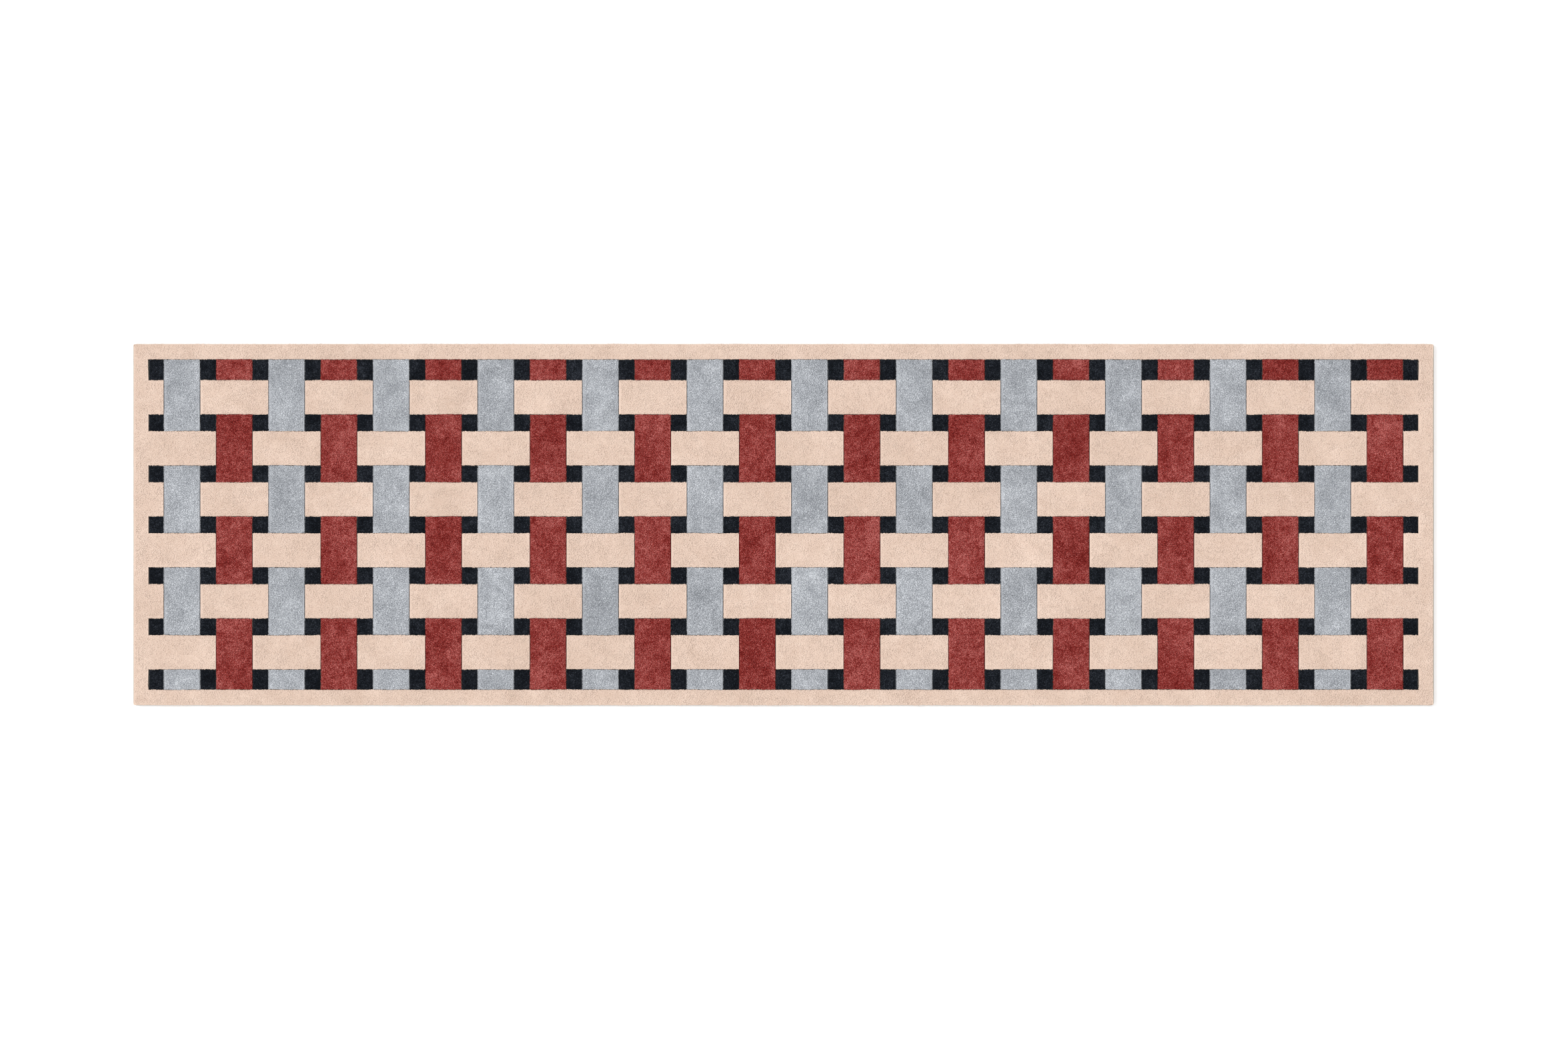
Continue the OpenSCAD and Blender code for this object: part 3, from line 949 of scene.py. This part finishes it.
weave_group, weave_in, weave_out = new_group(
    "woven_cloth", "ShaderNodeTree",
    [("Place", "NodeSocketVector", (0.0, 0.0, 0.0)), ("Threads Per Metre", "NodeSocketFloat", 1000.0),
     ("Twill", "NodeSocketFloat", 0.0), ("Warp", "NodeSocketColor", None),
     ("Weft", "NodeSocketColor", None), ("Shade", "NodeSocketColor", None),
     ("Soil", "NodeSocketFloat", 0.2)],
    SURFACE_OUTPUTS,
)


def thread_swell(tree, count):
    """How round a thread stands at this place: 0 between two threads, 1 on the middle of one."""
    return maths(tree, "ABSOLUTE", maths(tree, "SINE", maths(tree, "MULTIPLY", count, math.pi)))


def fill_weave_group(tree, given, result):
    """Counts the threads both ways and colours them by which one is on top."""
    counts = separate(tree, scaled(tree, given["Place"], given["Threads Per Metre"]))
    warp = thread_swell(tree, counts[0])
    weft = thread_swell(tree, counts[1])
    column = maths(tree, "FLOOR", counts[0])
    row = maths(tree, "FLOOR", counts[1])
    # Plain weave alternates by one. Twill goes over two and under two, one further each row.
    plain = maths(tree, "MODULO", maths(tree, "ABSOLUTE", maths(tree, "ADD", column, row)), 2.0)
    step = maths(tree, "FLOORED_MODULO", maths(tree, "ADD", column, row), TWILL_REPEAT)
    twill = maths(tree, "LESS_THAN", step, 1.5)
    on_top = add_node(tree, "ShaderNodeMix", {0: given["Twill"], 2: plain, 3: twill}).outputs[0]
    height = add_node(tree, "ShaderNodeMix", {0: on_top, 2: weft, 3: warp}).outputs[0]
    colour = mix_colours(tree, on_top, given["Weft"], given["Warp"])
    # Painted shade: between two threads the colour goes over to the shade colour.
    colour = mix_colours(tree, height, given["Shade"], colour)
    # Threads are spun unevenly, and handling leaves soft stains.
    slub = add_node(tree, "ShaderNodeTexNoise", {
        "Vector": given["Place"], "Scale": SLUBS_PER_METRE, "Detail": 3.0}).outputs["Fac"]
    stain = add_node(tree, "ShaderNodeTexNoise", {
        "Vector": given["Place"], "Scale": STAINS_PER_METRE, "Detail": 4.0,
        "Roughness": 0.6}).outputs["Fac"]
    half_soil = maths(tree, "MULTIPLY", given["Soil"], 0.5)
    both = maths(tree, "MULTIPLY", maths(tree, "ADD", slub, stain), half_soil)
    colour = mix_colours(tree, both, colour, given["Shade"])
    put_out(tree, result, colour, slub, 0.78, 0.98, height)


fill_weave_group(weave_group, weave_in, weave_out)
print("weave group has", len(weave_group.nodes), "nodes")

# %% Weave materials
PLAIN = 0.0
TWILL = 1.0


def woven(name, threads, twill, warp, weft, shade, soil, place="Object"):
    """A cloth with its threads in each metre. place is Object or the name of the cloth's map."""
    values = {
        "Threads Per Metre": threads, "Twill": twill, "Warp": (*warp, 1), "Weft": (*weft, 1),
        "Shade": (*shade, 1), "Soil": soil,
    }
    material = group_material(
        name, weave_group, values, specular=0.2, sheen=0.05, sheen_tint=(*warp, 1),
        bump=(0.5, 0.0003))
    tree = material.node_tree
    source = next(n for n in tree.nodes if n.type == "GROUP")
    if place == "Object":
        start = add_node(tree, "ShaderNodeTexCoord").outputs["Object"]
    else:
        start = add_node(tree, "ShaderNodeUVMap", uv_map=place).outputs["UV"]
    tree.links.new(start, source.inputs["Place"])
    return material


TAPE_MAP = "along_tape"
cloth_weave = woven(
    "primary_cloth_weave", threads=720.0, twill=PLAIN, warp=(0.70, 0.67, 0.60),
    weft=(0.64, 0.61, 0.54), shade=(0.36, 0.33, 0.28), soil=0.25)
scrim_weave = woven(
    "scrim_weave", threads=400.0, twill=PLAIN, warp=(0.80, 0.79, 0.75),
    weft=(0.78, 0.77, 0.72), shade=(0.52, 0.50, 0.45), soil=0.15)
canvas_weave = woven(
    "canvas_weave", threads=620.0, twill=PLAIN, warp=(0.66, 0.57, 0.44),
    weft=(0.60, 0.51, 0.38), shade=(0.30, 0.24, 0.17), soil=0.40)
tape_twill = woven(
    "hem_tape_twill", threads=1100.0, twill=TWILL, warp=(0.62, 0.54, 0.42),
    weft=(0.50, 0.42, 0.31), shade=(0.24, 0.19, 0.13), soil=0.25, place=TAPE_MAP)
print("woven", cloth_weave.name, scrim_weave.name, canvas_weave.name, tape_twill.name)

# %% [markdown]
# ## Latex
# The two coats of latex glue the roots of the tufts and the canvas. Dried latex is a pale yellowish
# rubber with a dull skin, small pinholes where air came out and long marks of the spreading blade.
# The coats lie between the cloths and keep the model's shape, so only the material is made here.

# %% Latex material
BLADE_MARKS = (4.0, 60.0, 60.0)
BUBBLES_PER_METRE = 260.0

latex_group, latex_in, latex_out = new_group(
    "latex_skin", "ShaderNodeTree",
    [("Rubber", "NodeSocketColor", None), ("Deep", "NodeSocketColor", None),
     ("Pinholes", "NodeSocketFloat", 0.3)],
    SURFACE_OUTPUTS,
)


def fill_latex_group(tree, given, result):
    """Long marks of the spreading blade and round pinholes."""
    place = add_node(tree, "ShaderNodeTexCoord").outputs["Object"]
    drawn = add_node(tree, "ShaderNodeMapping", {"Vector": place, "Scale": BLADE_MARKS})
    marks = add_node(tree, "ShaderNodeTexNoise", {
        "Vector": drawn.outputs["Vector"], "Scale": 1.0, "Detail": 3.0}).outputs["Fac"]
    cells = add_node(tree, "ShaderNodeTexVoronoi", {
        "Vector": place, "Scale": BUBBLES_PER_METRE})
    hole = add_node(tree, "ShaderNodeMapRange", {
        "Value": cells.outputs["Distance"], "From Min": 0.05, "From Max": 0.22,
        "To Min": 1.0, "To Max": 0.0}).outputs["Result"]
    hole = maths(tree, "MULTIPLY", hole, given["Pinholes"])
    colour = mix_colours(tree, marks, given["Rubber"], given["Deep"])
    # Painted shade: each pinhole takes the deep colour, as a small hollow in shadow.
    colour = mix_colours(tree, hole, colour, given["Deep"])
    put_out(tree, result, colour, marks, 0.40, 0.65, maths(tree, "SUBTRACT", marks, hole))


fill_latex_group(latex_group, latex_in, latex_out)
latex_skin = group_material(
    "latex_coat", latex_group,
    {"Rubber": (0.80, 0.74, 0.56, 1), "Deep": (0.62, 0.54, 0.36, 1), "Pinholes": 0.4},
    specular=0.4, sheen=0.0, sheen_tint=(1, 1, 1, 1), bump=(0.3, 0.0003))
for coat in ("latex_precoat", "latex_glue_coat"):
    nodes[coat].data.materials.clear()
    nodes[coat].data.materials.append(latex_skin)
print("latex on", nodes["latex_precoat"].name, nodes["latex_glue_coat"].name)

# %% [markdown]
# ## Cloths of the back
# Each cloth is cut flat and laid, so it can be drawn as a net over the plan of the rug with a height
# at every knot. The net's lines are set close where the cloth bends, over the hem tape or round the
# edge, and wide where it lies flat. The primary cloth goes on past the net's rim: it folds down round
# the edge and its margin is turned under. Then the Solidify modifier gives the net its thickness.
# A cloth simulation would only find the same flat shape after a long time.

# %% Net helpers
FIELD_STEP = 0.028

rug_half = (rug_length / 2, rug_width / 2)


def lines_across(half, insets):
    """Places of a net's lines over one side: close at the given insets, wide in the middle."""
    near = sorted(half - inset for inset in insets)
    inner = near[0]
    count = math.ceil(2 * inner / FIELD_STEP)
    middle = [-inner + 2 * inner * k / count for k in range(1, count)]
    return [-place for place in reversed(near)] + middle + near


def rounded(x, y, half, radius):
    """Moves a knot near a sharp corner of the plan onto the rounded one."""
    over_x = radius - (half[0] - abs(x))
    over_y = radius - (half[1] - abs(y))
    if radius <= 0 or over_x <= 0 or over_y <= 0:
        return x, y
    share = max(over_x, over_y) / math.hypot(over_x, over_y)
    sign_x = math.copysign(1, x)
    sign_y = math.copysign(1, y)
    return (sign_x * (half[0] - radius + over_x * share),
            sign_y * (half[1] - radius + over_y * share))


def net_of(outer, insets, radius, level):
    """A net over the plan less `outer`. level gives the height at an inset and a place."""
    half = (rug_half[0] - outer, rug_half[1] - outer)
    xs = lines_across(half[0], [inset - outer for inset in insets])
    ys = lines_across(half[1], [inset - outer for inset in insets])
    shape = bmesh.new()
    knots = []
    for x in xs:
        column = []
        for y in ys:
            inset = min(rug_half[0] - abs(x), rug_half[1] - abs(y))
            place = rounded(x, y, half, radius)
            column.append(shape.verts.new((*place, level(inset, x, y))))
        knots.append(column)
    for i in range(len(xs) - 1):
        for j in range(len(ys) - 1):
            shape.faces.new((knots[i][j], knots[i + 1][j], knots[i + 1][j + 1], knots[i][j + 1]))
    rim = [column[0] for column in knots]
    rim += knots[-1][1:]
    rim += [column[-1] for column in reversed(knots[:-1])]
    rim += list(reversed(knots[0][1:-1]))
    return shape, rim


print("net lines in the field are about", FIELD_STEP, "m apart")

# %% Thickness of a cloth
SAME_KNOT = 2e-5
NO_LENGTH = 1e-6


def thick_cloth(name, shape, thickness, material):
    """Gives a net its thickness and its material, and returns a plain object."""
    bmesh.ops.remove_doubles(shape, verts=shape.verts, dist=SAME_KNOT)
    bmesh.ops.dissolve_degenerate(shape, edges=shape.edges, dist=NO_LENGTH)
    mesh = bpy.data.meshes.new(name + "_net")
    shape.to_mesh(mesh)
    shape.free()
    carrier = put_in_scene(name + "_carrier", mesh)
    wall = carrier.modifiers.new("thickness", "SOLIDIFY")
    wall.thickness = thickness
    wall.offset = 0.0
    wall.use_even_offset = True
    finished = taken_off(carrier, name)
    finished.materials.clear()
    finished.materials.append(material)
    return put_in_scene(name, finished)


print("knots closer than", SAME_KNOT, "m become one")

# %% Levels from the frame
CORNER_RADIUS = 0.006
MARGIN_PAST_CANVAS_STEP = 0.008
TAPE_CLEARANCE = 0.0002

cloth_low, cloth_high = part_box("primary_cloth")
precoat_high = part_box("latex_precoat")[1]
canvas_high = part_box("backing_canvas")[1]
tape_low, tape_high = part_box("hem_tape_back")
thread_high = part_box("hem_thread")[1]
cloth_thick = cloth_high.z - precoat_high.z
canvas_thick = canvas_high.z - tape_high.z
tape_thick = tape_high.z - tape_low.z
tape_inset = rug_half[1] - tape_high.y
tape_width = tape_high.y - tape_low.y
canvas_inset = rug_half[1] - canvas_high.y
step_inset = tape_inset + tape_width + TAPE_CLEARANCE
print("cloth is", round(cloth_thick, 5), "m thick, canvas", round(canvas_thick, 5))
print("tape is", round(tape_width, 4), "m wide")

# %% Fold of the primary cloth
BEND = 0.0005
BEND_STEPS = 4


def fold_profile():
    """Insets and heights of the fold's middle line, from the top round the edge and under."""
    top = cloth_high.z - cloth_thick / 2
    under = cloth_low.z + cloth_thick / 2
    side = cloth_thick / 2
    line = []
    for k in range(1, BEND_STEPS + 1):
        turn = math.pi / 2 * k / BEND_STEPS
        line.append((side + BEND * (1 - math.sin(turn)), top - BEND * (1 - math.cos(turn))))
    for k in range(BEND_STEPS + 1):
        turn = math.pi / 2 * k / BEND_STEPS
        line.append((side + BEND * (1 - math.cos(turn)), under + BEND * (1 - math.sin(turn))))
    reach = step_inset + canvas_thick + MARGIN_PAST_CANVAS_STEP
    for share in (0.1, 0.4, 0.7, 1.0):
        line.append((side + BEND + share * (reach - side - BEND), under))
    return line


def way_out(gap_x, gap_y):
    """The direction from the middle to the rim: slanted on a rounded corner, else square."""
    arc_x = max(0.0, CORNER_RADIUS - gap_x)
    arc_y = max(0.0, CORNER_RADIUS - gap_y)
    if arc_x > 0 and arc_y > 0:
        reach = math.hypot(arc_x, arc_y)
        return arc_x / reach, arc_y / reach
    return (1.0, 0.0) if gap_x < gap_y else (0.0, 1.0)


def turned_under(shape, rim, start, line):
    """Carries the net's rim along the profile, keeping every corner of the plan mitred."""
    ring_before = rim
    first = [tuple(knot.co) for knot in rim]
    for inset, height in line:
        ring_now = []
        shift = inset - start
        limit = (rug_half[0] - inset, rug_half[1] - inset)
        for x, y, _ in first:
            out = way_out(rug_half[0] - abs(x), rug_half[1] - abs(y))
            at_x = min(abs(x) - shift * out[0], limit[0])
            at_y = min(abs(y) - shift * out[1], limit[1])
            if inset > CORNER_RADIUS and out[0] > 0 and out[1] > 0:
                at_x, at_y = limit
            ring_now.append(shape.verts.new(
                (math.copysign(at_x, x), math.copysign(at_y, y), height)))
        for k in range(len(ring_now)):
            after = (k + 1) % len(ring_now)
            shape.faces.new((ring_before[after], ring_before[k], ring_now[k], ring_now[after]))
        ring_before = ring_now


print("the cloth bends round the edge in", 2 * BEND_STEPS, "steps")

# %% Primary cloth
CORNER_LINES = [0.002, 0.0035, 0.0048, CORNER_RADIUS]

profile = fold_profile()
profile_start = cloth_thick / 2 + BEND
cloth_top = cloth_high.z - cloth_thick / 2
cloth_net, cloth_rim = net_of(
    profile_start, [profile_start, *CORNER_LINES, 0.020, 0.040],
    CORNER_RADIUS - profile_start, lambda inset, x, y: cloth_top)
turned_under(cloth_net, cloth_rim, profile_start, profile)
primary_cloth = thick_cloth("primary_cloth_folded", cloth_net, cloth_thick, cloth_weave)

# %% Scrim
scrim_low, scrim_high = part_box("scrim")
scrim_inset = rug_half[1] - scrim_high.y
scrim_middle = (scrim_low.z + scrim_high.z) / 2
scrim_net, _ = net_of(
    scrim_inset, [scrim_inset, *CORNER_LINES, 0.030],
    CORNER_RADIUS - scrim_inset, lambda inset, x, y: scrim_middle)
scrim_cloth = thick_cloth("scrim_cloth", scrim_net, scrim_high.z - scrim_low.z, scrim_weave)

# %% Canvas
STEP_WIDTH = 0.0018
STEP_LINES = 3
CREASE_HEIGHT = 0.00012
CREASES_PER_METRE = 9
CANVAS_CORNER = 0.001


def canvas_level(inset, x, y):
    """The canvas lies on the floor in the field and steps up over the hem tape."""
    field = canvas_thick / 2
    over_tape = tape_high.z + canvas_thick / 2
    share = min(1.0, max(0.0, (step_inset + STEP_WIDTH - inset) / STEP_WIDTH))
    smooth = share * share * (3 - 2 * share)
    spot = Vector((x * CREASES_PER_METRE, y * CREASES_PER_METRE, 0.3))
    crease = CREASE_HEIGHT * max(0.0, mathutils.noise.noise(spot)) * (1 - smooth)
    return field + (over_tape - field) * smooth + crease


step_lines = [step_inset + STEP_WIDTH * k / STEP_LINES for k in range(STEP_LINES + 1)]
canvas_net, _ = net_of(
    canvas_inset, [canvas_inset, 0.012, 0.020, 0.026, *step_lines, 0.040],
    CANVAS_CORNER, canvas_level)
canvas_cloth = thick_cloth("backing_canvas_cloth", canvas_net, canvas_thick, canvas_weave)

# %% [markdown]
# ## Hem tape
# Four lengths of twill tape are sewn over the rug's edge on the back, with their ends cut at 45
# degrees so that they meet in a mitre. Each gets its own map that runs along the tape, because the
# twill follows the tape and not the rug.

# %% Hem tapes
TAPE_STEP = 0.02
TAPE_COLUMNS = 6


def tape_net(length_half, edge):
    """One tape along the back edge: a net that gets shorter towards its inner side."""
    shape = bmesh.new()
    runs = shape.loops.layers.uv.new(TAPE_MAP)
    along = math.ceil(2 * length_half / TAPE_STEP)
    level = (tape_low.z + tape_high.z) / 2
    knots = []
    for i in range(along + 1):
        column = []
        for j in range(TAPE_COLUMNS + 1):
            depth = tape_width * j / TAPE_COLUMNS
            reach = length_half - depth
            x = -reach + 2 * reach * i / along
            column.append(shape.verts.new((x, edge - depth, level)))
        knots.append(column)
    for i in range(along):
        for j in range(TAPE_COLUMNS):
            face = shape.faces.new(
                (knots[i][j + 1], knots[i + 1][j + 1], knots[i + 1][j], knots[i][j]))
            for corner in face.loops:
                corner[runs].uv = (corner.vert.co.x, edge - corner.vert.co.y)
    return shape


hem_tapes = []
for side, turn in (("back", 0), ("left", 1), ("front", 2), ("right", 3)):
    lengthwise = turn % 2 == 0
    own_half = rug_half[0] if lengthwise else rug_half[1]
    own_edge = rug_half[1] if lengthwise else rug_half[0]
    net = tape_net(own_half - tape_inset - TAPE_CLEARANCE, own_edge - tape_inset)
    bmesh.ops.rotate(net, verts=net.verts, cent=(0, 0, 0),
                     matrix=mathutils.Matrix.Rotation(math.pi / 2 * turn, 3, "Z"))
    hem_tapes.append(thick_cloth("hem_tape_" + side + "_twill", net, tape_thick, tape_twill))
print("hem tapes", [tape.name for tape in hem_tapes])

# %% [markdown]
# ## Hem stitching
# Two rows of lockstitch hold the tape. Stitches repeat along a line, which is what Geometry Nodes do
# well: each side of each row is a line, which is turned into a curve with a point for every stitch,
# and a small flattened bolster of thread is set on each point, turned along the row.

# %% Thread material
thread_group, thread_in, thread_out = new_group(
    "sewing_thread", "ShaderNodeTree",
    [("Thread", "NodeSocketColor", None), ("Groove", "NodeSocketColor", None),
     ("Twist", "NodeSocketFloat", 2600.0)],
    SURFACE_OUTPUTS,
)


def fill_thread_group(tree, given, result):
    """Slanted grooves between the plies of a twisted thread."""
    place = separate(tree, add_node(tree, "ShaderNodeTexCoord").outputs["Object"])
    slant = maths(tree, "ADD", maths(tree, "ADD", place[0], place[1]), place[2])
    ply = maths(tree, "SINE", maths(tree, "MULTIPLY", slant, given["Twist"]))
    ply = maths(tree, "MULTIPLY_ADD", ply, 0.5, 0.5)
    # Painted shade: the grooves between the plies take the darker groove colour.
    colour = mix_colours(tree, ply, given["Groove"], given["Thread"])
    put_out(tree, result, colour, ply, 0.75, 0.55, ply)


fill_thread_group(thread_group, thread_in, thread_out)
thread_twist = group_material(
    "hem_thread_twist", thread_group,
    {"Thread": (0.78, 0.74, 0.62, 1), "Groove": (0.45, 0.41, 0.31, 1), "Twist": 5200.0},
    specular=0.35, sheen=0.05, sheen_tint=(0.8, 0.76, 0.64, 1), bump=(0.4, 0.0001))
print("thread group has", len(thread_group.nodes), "nodes")

# %% One stitch
STITCH_SIDES = 6
STITCH_RINGS = ((-0.40, 0.8), (0.0, 1.0), (0.40, 0.8))


def stitch_shape(name):
    """A bolster of unit length and width along X, with pointed ends and rings between them."""
    places = [(-0.5, 0, 0)]
    for x, girth in STITCH_RINGS:
        for k in range(STITCH_SIDES):
            turn = 2 * math.pi * k / STITCH_SIDES
            places.append((x, 0.5 * girth * math.cos(turn), 0.5 * girth * math.sin(turn)))
    places.append((0.5, 0, 0))
    last = len(places) - 1
    last_ring = last - STITCH_SIDES
    faces = []
    for k in range(STITCH_SIDES):
        after = (k + 1) % STITCH_SIDES
        faces.append((0, 1 + after, 1 + k))
        for low in range(1, last_ring, STITCH_SIDES):
            high = low + STITCH_SIDES
            faces.append((low + k, low + after, high + after, high + k))
        faces.append((last_ring + k, last_ring + after, last))
    mesh = bpy.data.meshes.new(name)
    mesh.from_pydata(places, [], faces)
    mesh.polygons.foreach_set("use_smooth", [True] * len(mesh.polygons))
    return bpy.data.objects.new(name, mesh)


stitch = stitch_shape("lockstitch")
print("a stitch has", len(stitch.data.polygons), "faces")

# %% Stitch tree
THREAD_WIDTH = 0.0008
STITCH_ASTRAY = 0.03

stitch_tree, stitch_in, stitch_out = new_group(
    "lockstitch_rows", "GeometryNodeTree",
    [("Rows", "NodeSocketGeometry", None), ("Stitch", "NodeSocketObject", None),
     ("Thread", "NodeSocketMaterial", None), ("Spacing", "NodeSocketFloat", 0.0085),
     ("Stitch Length", "NodeSocketFloat", 0.0068),
     ("Thread Width", "NodeSocketFloat", THREAD_WIDTH),
     ("Thread Height", "NodeSocketFloat", 0.0004), ("Seed", "NodeSocketInt", 4)],
    [("Stitches", "NodeSocketGeometry")],
)


def fill_stitch_tree(tree, given, result):
    """A stitch on every point of the lines, turned along them and a little astray."""
    line = add_node(tree, "GeometryNodeMeshToCurve", {"Mesh": given["Rows"]}).outputs["Curve"]
    line = add_node(tree, "GeometryNodeResampleCurve",
                    {"Curve": line, "Length": given["Spacing"]}, mode="LENGTH").outputs["Curve"]
    along = add_node(tree, "GeometryNodeInputTangent").outputs[0]
    astray = random_vector(
        tree, (-STITCH_ASTRAY, -STITCH_ASTRAY, 0.0), (STITCH_ASTRAY, STITCH_ASTRAY, 0.0),
        given["Seed"])
    line = store(tree, line, "along", "FLOAT_VECTOR", vector_maths(tree, "ADD", along, astray))
    points = add_node(tree, "GeometryNodeCurveToPoints", {"Curve": line},
                      mode="EVALUATED").outputs["Points"]
    turn = add_node(tree, "FunctionNodeAlignRotationToVector", {
        "Vector": named(tree, "along", "FLOAT_VECTOR")}, axis="X").outputs[0]
    size = combine(tree, given["Stitch Length"], given["Thread Width"], given["Thread Height"])
    source = add_node(
        tree, "GeometryNodeObjectInfo", {"Object": given["Stitch"]}).outputs["Geometry"]
    made = add_node(tree, "GeometryNodeInstanceOnPoints", {
        "Points": points, "Instance": source, "Rotation": turn, "Scale": size}).outputs[0]
    made = add_node(tree, "GeometryNodeRealizeInstances", {"Geometry": made}).outputs[0]
    made = add_node(tree, "GeometryNodeSetMaterial",
                    {"Geometry": made, "Material": given["Thread"]}).outputs[0]
    tree.links.new(made, result["Stitches"])


fill_stitch_tree(stitch_tree, stitch_in, stitch_out)
print("stitch tree has", len(stitch_tree.nodes), "nodes")

# %% Stitch the hem
CORNER_GAP = 0.004
STITCH_LEVEL = 0.00021


def stitch_rows(insets, level):
    """The lines of the stitching, one for each side of each row, as a mesh of loose edges."""
    places = []
    lines = []
    for inset in insets:
        x = rug_half[0] - inset
        y = rug_half[1] - inset
        corners = [(-x, -y), (x, -y), (x, y), (-x, y)]
        for k in range(4):
            start = Vector(corners[k])
            end = Vector(corners[(k + 1) % 4])
            pull = (end - start).normalized() * CORNER_GAP
            lines.append((len(places), len(places) + 1))
            places += [(*(start + pull), level), (*(end - pull), level)]
    mesh = bpy.data.meshes.new("stitch_rows")
    mesh.from_pydata(places, lines, [])
    return mesh


# Both rows run at the same distance from the tape's own edges.
outer_row = rug_half[1] - thread_high.y + THREAD_WIDTH / 2
inner_row = 2 * tape_inset + tape_width - outer_row
stitching = grown("hem_stitches", stitch_rows([outer_row, inner_row], STITCH_LEVEL), stitch_tree,
                  {"Stitch": stitch, "Thread": thread_twist, "Seed": 4})
print("stitches", len(stitching.data.polygons) // len(stitch.data.polygons))
print("rows at", round(outer_row, 4), "and", round(inner_row, 4), "m from the rug's edge")

# %% [markdown]
# ## What every piece belongs to
# The pile, the cloths and the tapes all move with the rug. The model's parts that the cloths, the
# tapes and the stitches stand for are hidden.

# %% Hang the cloths on the rug
riding = [
    (primary_cloth, "primary_cloth", "primary_cloth"), (scrim_cloth, "scrim", "scrim"),
    (canvas_cloth, "backing_canvas", "canvas"), (stitching, "hem_thread", "hem_thread"),
]
riding += [(tape, tape.name.replace("_twill", ""), "hem_tape") for tape in hem_tapes]
for piece, node_name, slot_name in riding:
    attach(piece, "root")
    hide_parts(node_name)

print("sheets", 3 + len(hem_tapes))
